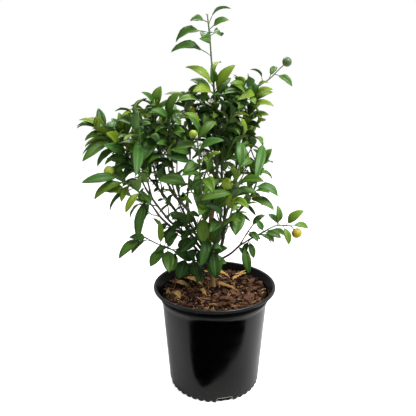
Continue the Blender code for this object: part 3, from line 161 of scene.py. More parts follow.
# Leaves seen on the outside of the crown: distance along the limb, tip, width, how squarely the
# blade faces the viewer, from 0 (edge on) to 1, tone from 0 for dark to 1 for young, which also holds
# each leaf's painted shade and painted light, and 1 where the green is cool
seenLeaves = {
    "top_shoot": (
        (102, (-90, -5, 745), 24, 0.4, 0.35, 0.5), (147, (-81, 10, 766), 26, 0.4, 0.4, 0.5),
        (166, (-51, 5, 805), 20, 0.4, 0.45, 0.4), (160, (31, 15, 830), 16, 0.2, 0.35, 0),
        (152, (27, 0, 806), 18, 0.8, 0.45, 0.4), (137, (-24, -45, 764), 20, 0.5, 0.5, 0.8),
        (140, (13, 50, 783), 18, 0.4, 0.4, 0.6), (38, (-61, -10, 716), 22, 0.7, 0.85, 0),
        (30, (40, -5, 720), 22, 0.9, 0.8, 0), (46, (-9, -25, 715), 17, 0.9, 0.4, 0.2),
        (55, (13, 35, 729), 16, 0.1, 0.8, 0), (24, (-53, 30, 693), 20, 0.7, 0.15, 0.6),
        (18, (34, 30, 697), 18, 0.7, 0.2, 0.5)),
    "right_high": (
        (319, (73, 15, 713), 17, 0.3, 0.45, 0.3), (335, (129, 30, 721), 14, 0.4, 0.45, 0.3),
        (350, (159, 0, 679), 16, 0.7, 0.45, 0.5), (281, (120, 5, 673), 20, 0.6, 0.75, 0),
        (272, (125, 30, 668), 18, 0.5, 0.85, 0), (263, (122, -5, 639), 19, 0.5, 0.85, 0),
        (240, (113, 0, 621), 19, 0.6, 0.6, 0.1), (225, (93, -20, 595), 16, 0.6, 0.2, 0.3),
        (290, (85, 30, 684), 18, 0.9, 0.5, 0.2)),
    "left_high": (
        (350, (-112, -5, 679), 22, 0.9, 0.55, 0), (332, (-80, -25, 649), 22, 0.7, 0.5, 0.3),
        (340, (-166, 10, 649), 15, 0.2, 0.25, 0.2), (318, (-174, -15, 633), 18, 0.7, 0.8, 0),
        (291, (-151, -55, 529), 28, 0.9, 0.4, 0.8), (264, (-139, -40, 510), 22, 0.7, 0.4, 0.3),
        (352, (-146, -26, 668), 18, 0.7, 0.3, 0.6)),
    "left_inner": (
        (224, (-106, 10, 663), 20, 0.5, 0.8, 0), (230, (-27, -8, 680), 26, 0.8, 0.45, 0.4),
        (214, (-75, 30, 672), 22, 0.8, 0.2, 0.8), (222, (-52, -14, 668), 20, 0.8, 0.7, 0),
        (196, (-42, -26, 650), 24, 0.8, 0.35, 0.4), (147, (-94, -30, 530), 26, 0.8, 0.38, 0.6)),
    "left_outer": (
        (300, (-242, -10, 635), 19, 0.9, 0.2, 0.5), (292, (-234, -40, 618), 22, 0.9, 1, 0),
        (299, (-278, -22, 613), 18, 0.5, 0.85, 0), (303, (-290, -8, 598), 20, 0.5, 0.55, 0.3),
        (280, (-222, -60, 605), 26, 0.6, 0.3, 0.7), (270, (-277, -30, 541), 20, 0.5, 0.35, 0.2),
        (256, (-243, -45, 519), 20, 0.7, 0.22, 0.3), (225, (-226, -50, 523), 21, 0.5, 0.68, 0),
        (198, (-201, -60, 509), 26, 0.6, 0.25, 0.6), (219, (-150, -65, 518), 26, 0.7, 0.55, 0.8),
        (200, (-199, -10, 471), 18, 0.7, 0.15, 0.5), (292, (-268, -34, 570), 19, 0.6, 0.2, 0.3),
        (262, (-256, 12, 560), 20, 0.6, 0.6, 0), (284, (-215, 20, 606), 20, 0.8, 0.3, 0.8)),
    "left_back": (
        (328, (-171, 45, 631), 20, 0.7, 0.25, 0.3), (334, (-231, 60, 612), 20, 0.8, 0.35, 0.7),
        (341, (-211, 35, 626), 20, 0.8, 0.6, 0.2)),
    "left_front": (
        (292, (-260, -70, 498), 20, 0.6, 0.4, 0.9), (276, (-244, -80, 457), 22, 0.6, 0.62, 0.1),
        (266, (-191, -75, 451), 15, 0.8, 1, 0), (240, (-182, -60, 430), 16, 0.7, 0.95, 0),
        (254, (-222, -50, 424), 16, 0.6, 0.3, 0.3), (209, (-151, -60, 404), 18, 0.8, 0.15, 0.6),
        (218, (-157, -68, 371), 22, 0.8, 0.25, 0.5), (226, (-132, -70, 446), 18, 0.7, 0.35, 0.5)),
    "low_left": (
        (178, (-177, -60, 377), 16, 0.7, 0.3, 0.8), (185, (-202, -75, 329), 22, 0.8, 0.45, 0.3),
        (164, (-182, -40, 326), 16, 0.2, 0.15, 0.3), (144, (-118, -45, 404), 14, 0.9, 0.75, 0),
        (130, (-139, -60, 305), 24, 0.9, 0.38, 0.5), (106, (-93, -50, 290), 26, 1, 0.35, 0.3),
        (136, (-85, -20, 379), 16, 0.5, 0.12, 0.3), (73, (-81, -40, 267), 30, 0.9, 0.06, 0.5),
        (55, (-42, -35, 272), 26, 0.8, 0.1, 0.5), (93, (-54, -25, 357), 24, 0.6, 0.08, 0.5),
        (118, (-71, -10, 303), 15, 0.4, 0.06, 0.4)),
    "right_outer": (
        (64, (45, -25, 367), 34, 1, 0.9, 1), (187, (117, -30, 557), 20, 0.5, 0.45, 0.1),
        (180, (92, -55, 501), 20, 0.9, 0.5, 1), (170, (121, -25, 489), 16, 0.4, 0.5, 0.2),
        (185, (124, 0, 520), 18, 0.6, 0.3, 0.2), (140, (134, -30, 452), 24, 0.6, 0.45, 0.9),
        (109, (126, -35, 424), 22, 0.6, 0.55, 0.4), (126, (102, -20, 428), 15, 0.6, 0.35, 0.4)),
    "low_right_twig": (
        (29, (98, -42, 360), 16, 0.7, 0.35, 0.6), (46, (111, -10, 406), 14, 0.6, 0.35, 0.8)),
    "low_right": (
        (122, (85, -40, 316), 15, 0.8, 0.2, 0.2), (126, (68, -6, 316), 14, 0.7, 0.15, 0.2),
        (109, (75, -44, 281), 20, 0.8, 0.22, 0.5), (160, (141, -50, 366), 18, 0.8, 0.3, 0.3),
        (168, (156, -10, 357), 15, 0.5, 0.5, 0.2), (148, (132, -20, 346), 15, 0.5, 0.3, 0.3),
        (130, (126, -8, 340), 15, 0.2, 0.15, 0.2), (193, (134, -30, 432), 16, 0.8, 0.35, 0.1),
        (212, (188, -42, 424), 20, 0.8, 0.75, 0.2), (222, (205, -22, 379), 15, 0.5, 0.62, 0.1),
        (206, (158, -52, 352), 16, 0.9, 0.65, 0.1), (199, (117, -15, 409), 14, 0.5, 0.35, 0.9)),
    "leader": (
        (150, (-38, -14, 420), 22, 0.7, 0.5, 0.3), (165, (34, -18, 438), 22, 0.7, 0.2, 0.4)),
    "low_centre": (
        (24, (2, -36, 268), 32, 0.9, 0.2, 0.3), (34, (26, -30, 300), 22, 0.8, 0.25, 0.3),
        (40, (-34, -38, 306), 22, 0.8, 0.15, 0.4), (56, (28, -36, 338), 22, 0.8, 0.25, 0.8),
        (64, (-34, -36, 356), 24, 0.9, 0.55, 0), (84, (14, -36, 396), 22, 0.8, 0.3, 0.6)),
    "low_centre_left": (
        (26, (-40, -36, 257), 26, 0.9, 0.08, 0.4), (40, (-84, -34, 268), 30, 0.8, 0.05, 0.5),
        (50, (-84, 2, 308), 20, 0.7, 0.1, 0.4), (66, (-86, -28, 338), 22, 0.7, 0.12, 0.4),
        (58, (-24, -36, 330), 22, 0.8, 0.2, 0.3)),
    "left_low_twig": (
        (26, (-72, -36, 356), 20, 0.8, 0.1, 0.4), (36, (-92, -28, 392), 18, 0.7, 0.08, 0.5),
        (46, (-58, -44, 424), 20, 0.8, 0.3, 0.2), (30, (-44, -44, 372), 18, 0.8, 0.2, 0.4),
        (46, (-96, -40, 418), 18, 0.7, 0.15, 0.5)),
    "right_inner": (
        (352, (68, 30, 694), 22, 0.9, 0.12, 0.8), (356, (44, 24, 692), 20, 0.8, 0.3, 0.9),
        (340, (58, 0, 661), 22, 0.7, 0.5, 0.3), (330, (36, -12, 656), 20, 0.8, 0.35, 0.2),
        (360, (22, 14, 686), 20, 0.7, 0.55, 0.1), (322, (54, -14, 636), 22, 0.7, 0.5, 0.4)),
    "left_between": (
        (180, (-128, -58, 632), 20, 0.8, 0.3, 0.8), (186, (-66, -60, 626), 20, 0.8, 0.4, 0.5),
        (150, (-60, -66, 590), 22, 0.8, 0.5, 0.5), (120, (-118, -60, 566), 22, 0.7, 0.4, 0.6)),
    "front_right": (
        (208, (-30, -112, 462), 20, 0.8, 0.6, 0.5),),
    "front_left": (
        (262, (-61, -136, 520), 22, 0.8, 0.45, 0.3),),
}

# Fruits: limb, distance along it, centre, diameter and colour
fruitTable = {
    "fruit_low_right": ("low_right", 225, (177, -36, 372), 21, "orange"),
    "fruit_top_right": ("right_high", 362, (149, 15, 728), 19, "green"),
    "fruit_front": ("front_right", 236, (23, -86, 490), 22, "lime"),
    "fruit_upper_front": ("front_left", 300, (-43, -96, 588), 15, "lime"),
    "fruit_upper_left": ("left_inner", 200, (-49, 3, 629), 17, "lime"),
    "fruit_right": ("right_outer", 118, (86, -6, 450), 15, "lime"),
    "fruit_left": ("left_front", 292, (-216, -60, 511), 20, "lime"),
}
stalkRadius = 1.2

# Limbs that bear only the leaves above, on stalks that show, and no side shoots
stalkedLimbs = ("top_shoot", "low_left", "low_right_twig", "low_right", "low_centre", "low_centre_left",
                "left_low_twig")

# Dry leaves, wood strips and bark on the soil: middle, length, width, turn and kind
litterTable = {
    "wood_strip_1": ((32, 14), 64, 9, -48, "strip"),
    "dry_leaf_1": ((-50, 44), 62, 19, -46, "leaf"),
    "dry_leaf_2": ((-80, 26), 40, 16, -30, "leaf"),
    "wood_strip_2": ((-26, -14), 28, 8, -58, "strip"),
    "dry_leaf_3": ((-86, -30), 40, 17, -60, "leaf"),
    "wood_strip_3": ((-30, 98), 34, 7, 16, "strip"),
    "wood_strip_4": ((26, 90), 34, 8, -60, "strip"),
    "wood_strip_5": ((62, 76), 40, 7, 30, "strip"),
    "bark_chip_1": ((80, -36), 36, 18, 48, "bark"),
    "bark_chip_2": ((94, 6), 28, 14, 33, "bark"),
    "bark_chip_3": ((26, -48), 28, 16, -12, "bark"),
    "bark_chip_4": ((92, 44), 24, 13, 62, "bark"),
}


def smoothRoute(points, step):
    # A Catmull-Rom curve through the points, read again at even steps
    pts = [Vector(p) for p in points]
    ends = [2 * pts[0] - pts[1]] + pts + [2 * pts[-1] - pts[-2]]
    fine = []
    for a, b, c, d in zip(ends, ends[1:], ends[2:], ends[3:]):
        for k in range(10):
            t = k / 10
            fine.append(0.5 * (2 * b + (c - a) * t + (2 * a - 5 * b + 4 * c - d) * t * t
                               + (3 * b - a - 3 * c + d) * t ** 3))
    fine.append(pts[-1])
    reach = [0.0]
    for a, b in zip(fine, fine[1:]):
        reach.append(reach[-1] + (b - a).length)
    count = max(2, round(reach[-1] / step))
    route = []
    spot = 0
    for k in range(count + 1):
        want = reach[-1] * k / count
        while spot < len(reach) - 2 and reach[spot + 1] < want:
            spot += 1
        share = (want - reach[spot]) / (reach[spot + 1] - reach[spot])
        route.append(fine[spot].lerp(fine[spot + 1], share))
    return route


def lengthOf(route):
    # The length of a route
    return sum((b - a).length for a, b in zip(route, route[1:]))


def pointAt(route, distance):
    # The place and the direction at a distance along the route
    gone = 0.0
    for a, b in zip(route, route[1:]):
        span = (b - a).length
        if gone + span >= distance or b is route[-1]:
            share = (distance - gone) / span
            return a.lerp(b, share), (b - a).normalized()
        gone += span


def cutRoute(route, start, end):
    # The stretch of a route between two distances
    piece = [pointAt(route, start)[0]]
    gone = 0.0
    for a, b in zip(route, route[1:]):
        gone += (b - a).length
        if start + 2.0 < gone < end - 2.0:
            piece.append(b.copy())
    piece.append(pointAt(route, end)[0])
    return piece


def framesAlong(route):
    # Each point of a route with two directions across it and the distance gone
    side = None
    gone = 0.0
    for k, point in enumerate(route):
        before, after = route[max(k - 1, 0)], route[min(k + 1, len(route) - 1)]
        along = (after - before).normalized()
        side = along.orthogonal().normalized() if side is None else side
        side = (side - along * side.dot(along)).normalized()
        gone += (point - before).length
        yield point, side, along.cross(side), gone


def roughTube(route, radii, sides, grow=0.0):
    # A tapered tube of flat sides along a route, closed at both ends
    total = lengthOf(route)
    verts = []
    for point, side, other, gone in framesAlong(route):
        radius = radii[0] + (radii[1] - radii[0]) * gone / total + grow
        for n in range(sides):
            turn = math.tau * n / sides
            verts.append(point + side * (radius * math.cos(turn)) + other * (radius * math.sin(turn)))
    last = (len(route) - 1) * sides
    faces = [tuple(reversed(range(sides)))]
    for low in range(0, last, sides):
        for n in range(sides):
            m = (n + 1) % sides
            faces.append((low + n, low + m, low + sides + m))
            faces.append((low + n, low + sides + m, low + sides + n))
    faces.append(tuple(range(last, last + sides)))
    return verts, faces


def ribOf(leaf):
    # A leaf's directions along, upward and sideways, and its length
    axis = (leaf["tip"] - leaf["base"]).normalized()
    up = (leaf["up"] - axis * leaf["up"].dot(axis)).normalized()
    return axis, up, axis.cross(up), (leaf["tip"] - leaf["base"]).length


def onRib(leaf, rib, share):
    # The point of the arched midrib at a share of the length, and which way is up there
    axis, up, side, length = rib
    rise = leaf["arch"] * length
    point = leaf["base"] + axis * (length * share) + up * (4.0 * rise * share * (1.0 - share))
    return point, (up - axis * (4.0 * leaf["arch"] * (1.0 - 2.0 * share))).normalized()


def leafFrames(leaf):
    # Midrib points with their upward and sideways directions, the half width there, and if it is blade
    rib = ribOf(leaf)
    frames = []
    for share, wide in leafRule["stalkedStations" if leaf["stalk"] else "bladeStations"] + ((1.0, 0.0),):
        point, lift = onRib(leaf, rib, share)
        half = max(wide * leaf["width"] / 2.0, leafRule["stalkHalf"]) if wide else 0.0
        frames.append((point, lift, rib[2], half, wide > 0.5))
    return frames


def roughLeaf(leaf, grow=0.0):
    # A chevron section: margins left and right, rib above and below, closed to a point
    verts = []
    frames = leafFrames(leaf)
    for point, lift, side, half, blade in frames[:-1]:
        fold = leaf["fold"] if blade else 0.0
        thick = (leafRule["ribThick"] if blade else leafRule["stalkThick"]) + 2 * grow
        out = half + grow
        verts.append(point - side * out + lift * (half * fold))
        verts.append(point + lift * (thick / 2.0))
        verts.append(point + side * out + lift * (half * fold))
        verts.append(point - lift * (thick / 2.0))
    verts.append(frames[-1][0])
    faces = [(2, 1, 0), (3, 2, 0)]
    rings = len(frames) - 1
    for k in range(rings - 1):
        low = 4 * k
        top = low + 4
        faces += [(low, low + 1, top + 1), (low, top + 1, top)]
        faces += [(low + 1, low + 2, top + 1), (low + 2, top + 2, top + 1)]
        faces += [(low + 2, low + 3, top + 3), (low + 2, top + 3, top + 2)]
        faces += [(low + 3, low, top + 3), (low, top, top + 3)]
    low = 4 * (rings - 1)
    end = 4 * rings
    faces += [(low, low + 1, end), (low + 1, low + 2, end), (low + 2, low + 3, end), (low + 3, low, end)]
    return verts, faces


def bladeOnly(leaf):
    # The leaf without its root, which may touch its own stem
    start = leaf["base"].lerp(leaf["tip"], leafRule["root"])
    return dict(leaf, base=start, stalk=False)


def crownEdges(height, depth):
    # The left and right edge of the crown at a height and a depth
    rows = crownOutline
    height = min(max(height, rows[0][0]), rows[-1][0])
    for (z0, l0, r0), (z1, l1, r1) in zip(rows, rows[1:]):
        if height <= z1:
            break
    share = (height - z0) / (z1 - z0)
    left = l0 + (l1 - l0) * share
    right = r0 + (r1 - r0) * share
    narrow = max(0.0, 1.0 - (depth / crownDepth) ** 4) ** 0.25
    return left * narrow, right * narrow


def inCrown(point):
    # Whether a point lies inside the crown's outline
    if abs(point.y) > crownDepth or not crownOutline[0][0] < point.z < crownOutline[-1][0]:
        return False
    left, right = crownEdges(point.z, point.y)
    return left < point.x < right


def overPot(verts):
    # Leaves stay above the lip, or over the soil inside it
    lip, soil = potShape["height"] + potShape["lipClear"], soilShape["level"] + soilShape["leafClear"]
    return all(v.z >= lip or (v.z >= soil and math.hypot(v.x, v.y) <= potShape["mouthRadius"]) for v in verts)


def treeOf(verts, faces):
    # A solid to test against, with its middle and how far it reaches
    middle = sum(verts, Vector()) / len(verts)
    return BVHTree.FromPolygons(verts, faces), middle, max((v - middle).length for v in verts)


class Space:
    # What is already placed, so that nothing new grows through it
    def __init__(self):
        self.things = []

    def add(self, node, whole, blade):
        self.things.append(dict(node=node, whole=treeOf(*whole), blade=treeOf(*blade)))

    def free(self, node, whole, blade):
        # Two things of one node may meet at their roots, so there only the blades are tested
        mine = dict(whole=treeOf(*whole), blade=treeOf(*blade))
        for entry in self.things:
            part = "blade" if entry["node"] == node else "whole"
            tree, middle, reach = mine[part]
            other, there, far = entry[part]
            if (middle - there).length < reach + far and tree.overlap(other):
                return False
        return True


def tryLeaf(space, node, leaf, clear):
    whole = roughLeaf(leaf, clear)
    blade = roughLeaf(bladeOnly(leaf), clear)
    if not overPot(whole[0]) or not space.free(node, whole, blade):
        return False
    space.add(node, whole, blade)
    return True


def seenUp(face):
    # The upper side's direction for a blade that shows this much of itself to the viewer
    return Vector((0.0, 0.24 - 1.1 * face, 0.97 - 0.45 * face))


# Limbs whose blades face the viewer more squarely than their solids do, and from which distance on
# the leaves stand on a longer stalk, as a share of their length
squarer = dict(top_shoot=0.8, right_high=0.75, low_left=0.8, low_right=0.8)
squarerFrom = 0.4         # blades nearer to edge on stay as they are
longStalks = dict(top_shoot=(90.0, 0.27), right_high=(310.0, 0.24))

# What a row leaves to the dice, and how a leaf without room sways in depth
seenRule = dict(arch=0.22, archFaced=0.12, archVary=(-0.02, 0.04), archLoss=0.003, fold=(0.35, 0.6),
                lean=(-0.25, 0.25), swayAcross=0.12, swayDown=0.2, upSway=0.02)


def growSeenLeaf(space, dice, node, route, row, clear=0.5, step=1.6, slide=0.0):
    # One leaf as its row says; without room it sways, and slides along the limb where slide lets it
    distance, tip, width, face, tone, cool = row
    look = seenRule
    arch = look["arch"] - look["archFaced"] * face + dice.uniform(*look["archVary"])
    fold = dice.uniform(*look["fold"])
    lean = dice.uniform(*look["lean"])
    for attempt in range(leafRule["tries"]):
        sway = attempt * step * (1 if attempt % 2 else -1)
        slid = slide * (attempt // 2) * (1 if attempt % 4 < 2 else -1)
        base = pointAt(route, min(distance + slid, lengthOf(route) - leafRule["end"]))[0]
        shift = Vector((look["swayAcross"] * sway, sway, -look["swayDown"] * abs(sway)))
        leaning = Vector((lean, 0.0, look["upSway"] * sway))
        leaf = dict(base=base, tip=Vector(tip) + shift, width=width, up=seenUp(face) + leaning,
                    arch=arch - look["archLoss"] * attempt, fold=fold, stalk=node in stalkedLimbs)
        if tryLeaf(space, node, leaf, clear):
            if squarerFrom <= face < squarer.get(node, 0.0):
                leaf["up"] = seenUp(squarer[node]) + leaning
            if node in longStalks and distance > longStalks[node][0]:
                leaf["petiole"] = longStalks[node][1]
            leaf.update(tone=tone, cool=cool)
            return leaf
    return None


def growLeaf(space, dice, node, base, along, turn, rule, end=False, allowed=None):
    # One leaf by rule: out from the stem, towards the outside of the crown and the light
    outward = Vector((base.x - crownMiddle, base.y, 0.0))
    outward = outward.normalized() if outward.length > 1.0 else Vector((0.0, -1.0, 0.0))
    side = along.orthogonal().normalized()
    for attempt in range(rule["tries"]):
        around = turn + dice.uniform(*rule["turnVary"]) + attempt * rule["turnStep"]
        angle = math.radians(dice.uniform(*rule["tipAngle" if end else "sideAngle"]))
        ray = Matrix.Rotation(around, 3, along) @ side
        aim = along * math.cos(angle) + ray * math.sin(angle) + outward * rule["outwardPull"]
        aim.z += dice.uniform(*rule["rise"])
        length = dice.uniform(*rule["length"]) * (1.0 - rule["shrink"] * attempt)
        tip = base + aim.normalized() * length
        up = Vector((0.0, 0.0, 1.0)) + outward * dice.uniform(*rule["upOutward"])
        up += Vector((dice.uniform(*rule["upAcross"]), dice.uniform(*rule["upForward"]), 0.0))
        leaf = dict(base=base, tip=tip, width=length * dice.uniform(*rule["width"]), up=up,
                    arch=dice.uniform(*rule["arch"]), fold=dice.uniform(*rule["fold"]), stalk=False)
        if abs(aim.normalized().dot(up.normalized())) < rule["steepest"] and inCrown(tip):
            if (allowed is None or allowed(leaf)) and tryLeaf(space, node, leaf, rule["clear"]):
                return leaf
    return None


def growAlong(space, dice, name, route, first, rule, allowed=None):
    # Leaves along a stem, each a golden turn on from the last, and the turn that comes next
    turn = dice.uniform(0, math.tau)
    distance = first
    grown = []
    while distance < lengthOf(route) - rule["end"]:
        base, along = pointAt(route, distance)
        grown.append(growLeaf(space, dice, name, base, along, turn, rule, allowed=allowed))
        turn += math.radians(goldenTurn)
        distance += rule["spacing"] * dice.uniform(*rule["spacingVary"])
    return grown, turn


def planLimbs():
    # Every limb's route, with the stretch that is bare wood and the stretch that bears leaves
    limbs = {}
    for name, data in limbTable.items():
        route = smoothRoute(data["route"], 32.0)
        total = lengthOf(route)
        bare = data["bare"] or data.get("stub", 0)
        wide, thin = data["radius"]
        here = wide + (thin - wide) * bare / total
        limbs[name] = dict(route=route, total=total, bare=bare, radii=data["radius"], cut=here,
                           wood=cutRoute(route, 0.0, bare) if bare else None,
                           leafy=cutRoute(route, bare + gap if bare else 0.0, total))
    return limbs


def planSideShoots(space, dice, limbs):
    # Short shoots on the leafy stretches, every 60 mm or so, by the same golden turn as the leaves
    rule = shootRule
    shoots = {name: [] for name in limbs}
    for name, limb in limbs.items():
        if name in stalkedLimbs:
            continue
        distance = limb["bare"] + rule["first"]
        turn = dice.uniform(0, math.tau)
        while distance < limb["total"] - rule["last"]:
            base, along = pointAt(limb["route"], distance)
            side = along.orthogonal().normalized()
            for attempt in range(rule["tries"]):
                ray = Matrix.Rotation(turn + attempt * rule["turnStep"], 3, along) @ side
                aim = along * rule["forward"] + ray * rule["outward"] + Vector((0, 0, rule["lift"]))
                reach = dice.uniform(*rule["length"])
                bend = aim.normalized() + Vector((0, 0, rule["tipLift"]))
                middle = base + aim.normalized() * reach * 0.5
                tip = middle + bend.normalized() * reach * 0.5
                grown = roughTube([base, middle, tip], rule["radius"], 4, rule["clear"])
                ahead = [base.lerp(middle, rule["root"]), middle, tip]
                free = roughTube(ahead, rule["radius"], 4, rule["clear"])
                if inCrown(tip) and space.free(name, grown, free):
                    space.add(name, grown, grown)
                    shoots[name].append([base, middle, tip])
                    break
            turn += math.radians(goldenTurn)
            distance += dice.uniform(*rule["spacing"])
    return shoots


def planFoliage(space, dice, limbs, shoots):
    # The leaves of the solids: those that show, and then the rest by rule
    leaves = {name: [] for name in limbs}
    for name, rows in seenLeaves.items():
        leaves[name] += [growSeenLeaf(space, dice, name, limbs[name]["route"], row) for row in rows]
    for name, limb in limbs.items():
        if name in stalkedLimbs:
            continue
        stems = [(limb["leafy"], leafRule["first"])]
        stems += [(route, leafRule["firstOnShoot"]) for route in shoots[name]]
        for route, first in stems:
            grown, turn = growAlong(space, dice, name, route, first, leafRule)
            base, along = pointAt(route, lengthOf(route) - leafRule["tip"])
            leaves[name] += grown + [growLeaf(space, dice, name, base, along, turn, leafRule, end=True)]
    return {name: [leaf for leaf in rows if leaf] for name, rows in leaves.items()}


# More leaves, past the number that the solids hold, fill the upper crown between and behind the others
fillRule = dict(leafRule, length=(36.0, 54.0), spacing=9.0, clear=0.15, first=4.0, step=2.3, slide=1.5,
                lowest=565.0, front=-35.0, openAbove=600.0, fruitClear=20.0, twigSag=4.0)

# More leaves that show from the front, in rows as above
moreLeaves = {
    "low_centre": (
        (83, (2, -56, 278), 33, 1, 0.05, 0.3),),
    "low_centre_left": (
        (70, (-62, -40, 330), 28, 0.8, 0.12, 1),),
    "top_shoot": (
        (28, (-46, -32, 667), 25, 1, 1, 0), (146, (-26, -34, 768), 18, 0.9, 0.5, 0.8),
        (146, (9, -26, 773), 16, 0.9, 0.45, 0.8)),
    "left_outer": (
        (262, (-214, -68, 588), 29, 1, 1, 0), (245, (-215, -74, 569), 24, 0.95, 0.35, 1),
        (235, (-211, -40, 545), 16, 0.7, 0.1, 0.4), (183, (-196, -76, 513), 26, 0.9, 0.5, 0.7),
        (48, (-102, -12, 380), 8, 0.8, 0.1, 0.3), (54, (-81, -13, 382), 5, 0.9, 0.2, 0.5),
        (307, (-295, -15, 597), 18, 0.6, 0.4, 0.5), (288, (-263, -45, 537), 21, 0.9, 0.5, 0.2),
        (204, (-152, -60, 491), 22, 0.9, 0.4, 0.6)),
    "leader": (
        (329, (-43, -14, 665), 18, 0.6, 0.12, 0),),
    "left_inner": (
        (232, (-63, -14, 667), 22, 0.9, 0.9, 0), (206, (-41, -30, 590), 20, 0.8, 0.6, 1),
        (130, (-87, -30, 558), 18, 0.8, 0.6, 1), (111, (-97, -24, 542), 19, 0.7, 0.25, 1)),
    "right_inner": (
        (376, (25, -16, 681), 18, 0.7, 0.95, 0), (374, (46, 14, 686), 24, 0.9, 0.5, 1),
        (266, (-12, -20, 512), 18, 0.7, 0.5, 0), (104, (14, 6, 351), 22, 0.95, 0.25, 0.9)),
    "right_high": (
        (280, (67, 0, 694), 24, 0.9, 0.15, 1), (287, (46, -24, 655), 17, 0.6, 0.75, 0),
        (280, (52, 6, 674), 18, 0.6, 0.3, 0), (303, (109, -6, 686), 13, 0.6, 0.8, 0),
        (198, (68, -8, 595), 16, 0.8, 0.6, 0)),
    "left_high": (
        (340, (-125, -14, 652), 18, 0.9, 0.25, 1), (340, (-114, -22, 654), 13, 0.9, 1, 0),
        (325, (-115, -34, 630), 20, 1, 0.45, 0), (324, (-91, -30, 626), 12, 0.5, 1, 0),
        (293, (-103, -44, 537), 24, 0.9, 0.38, 1), (63, (-72, -30, 343), 18, 0.9, 0.08, 0.5),
        (97, (-57, -9, 398), 5, 0.9, 0.1, 0.4), (110, (-34, -20, 404), 12, 0.9, 0.12, 0.5)),
    "left_back": (
        (341, (-180, 30, 634), 18, 0.7, 1, 0), (311, (-237, 16, 557), 22, 0.8, 0.3, 1),
        (56, (-65, -45, 342), 15, 0.9, 0.12, 0.4), (154, (-128, 32, 399), 6, 0.9, 0.4, 0.9),
        (133, (-71, 29, 416), 6, 0.9, 0.6, 0.6), (122, (-60, 27, 391), 5, 0.9, 0.3, 0.3),
        (155, (-112, 32, 430), 7, 0.9, 0.6, 0.2), (156, (-105, 32, 438), 6, 0.9, 0.5, 0.4),
        (132, (-108, 29, 391), 5, 0.9, 0.35, 0.6), (118, (-99, 27, 386), 6, 0.9, 0.15, 0.6),
        (195, (-137, 38, 451), 8, 0.9, 0.15, 0.4)),
    "left_middle": (
        (123, (-150, -64, 522), 25, 1, 0.42, 0.8), (114, (-142, -66, 591), 10, 0.7, 0.95, 0),
        (132, (-158, -60, 595), 9, 0.6, 0.9, 0),
        (178, (-182, -56, 622), 14, 0.6, 0.9, 0), (145, (-151, -70, 562), 22, 1, 0.6, 1),
        (120, (-149, -72, 517), 24, 0.95, 0.45, 1)),
    "left_back_upper": (
        (154, (-186, 34, 600), 24, 0.85, 0.3, 1), (154, (-175, 60, 631), 17, 0.7, 0.55, 0)),
    "left_between": (
        (159, (-69, -60, 575), 24, 0.8, 0.45, 0.2), (154, (-63, -66, 577), 22, 0.8, 0.42, 0),
        (166, (-120, -60, 588), 19, 0.7, 0.5, 0), (15, (-47, -60, 442), 12, 0.9, 0.45, 0),
        (22, (-66, -30, 468), 10, 0.9, 0.4, 0.6)),
    "front_left": (
        (131, (-26, -68, 363), 29, 1, 0.55, 0.1), (110, (-24, -66, 366), 26, 0.9, 0.3, 1),
        (62, (-28, -40, 313), 25, 0.9, 0.15, 1),
        (306, (1, -92, 611), 19, 0.8, 0.35, 0), (288, (15, -120, 578), 19, 0.8, 0.5, 1),
        (259, (-57, -126, 517), 17, 0.7, 0.75, 0), (227, (-46, -124, 484), 15, 0.7, 0.6, 1),
        (53, (-31, -55, 321), 20, 0.95, 0.2, 0.5)),
    "front_right": (
        (70, (12, -52, 360), 21, 0.9, 0.4, 1), (315, (45, -122, 530), 21, 0.9, 0.5, 1)),
    "right_outer": (
        (224, (82, -52, 508), 21, 0.9, 0.5, 1), (69, (43, -58, 374), 33, 1, 0.75, 1),
        (95, (88, -30, 410), 8, 0.9, 0.1, 0.3), (59, (78, -30, 396), 8, 0.9, 0.12, 0.3)),
    "low_left": (
        (88, (-83, -40, 336), 10, 0.8, 0.08, 0.4), (130, (-128, -50, 335), 14, 0.8, 0.2, 0.4),
        (118, (-92, -62, 308), 27, 1, 0.22, 0.2), (176, (-181, -45, 327), 8, 0.9, 0.2, 0.4),
        (128, (-127, -50, 334), 13, 0.9, 0.2, 0.4), (129, (-84, -52, 367), 13, 0.9, 0.12, 0.4)),
    "left_front": (
        (111, (-105, -35, 344), 15, 0.9, 0.3, 0.3), (120, (-117, -30, 359), 15, 0.85, 0.1, 0.3),
        (122, (-110, -10, 354), 10, 0.8, 0.08, 0.3), (145, (-117, -30, 379), 12, 0.8, 0.1, 0.3)),
    "left_low_twig": (
        (29, (-63, -30, 399), 15, 0.95, 0.02, 0.6),),
    "low_right": (
        (93, (68, -30, 316), 9, 0.9, 0.1, 0.4), (161, (89, -30, 400), 14, 0.9, 0.35, 0.6)),
    "low_right_twig": (
        (30, (94, -30, 361), 16, 0.7, 0.12, 0.3),),
}


# More twigs in the upper crown: limb, distance along it and tip
moreTwigs = (
    ("top_shoot", 8, (-36, -8, 688)), ("leader", 318, (-34, -24, 652)), ("leader", 296, (34, -22, 660)),
    ("right_inner", 338, (60, 12, 688)), ("right_high", 232, (58, -14, 664)), ("leader", 262, (32, -38, 622)),
    ("leader", 236, (-34, -36, 604)), ("left_inner", 186, (-28, 2, 652)), ("right_high", 196, (92, -16, 610)),
    ("left_high", 292, (-84, -30, 618)), ("left_outer", 268, (-240, 18, 592)),
    ("left_back", 262, (-196, 8, 566)), ("leader", 276, (-8, 44, 640)), ("back_middle", 250, (-40, 100, 626)),
    ("back_right", 280, (78, 84, 604)), ("back_left", 300, (-90, 96, 622)),
    ("left_high", 250, (-84, 42, 572)))

# The camera's place in metres, its pitch in degrees, and its lens and sensor in millimetres
cameraView = dict(place=(-0.0149, -0.901, 0.644), pitch=75.98, lens=36.21, sensor=36.0)


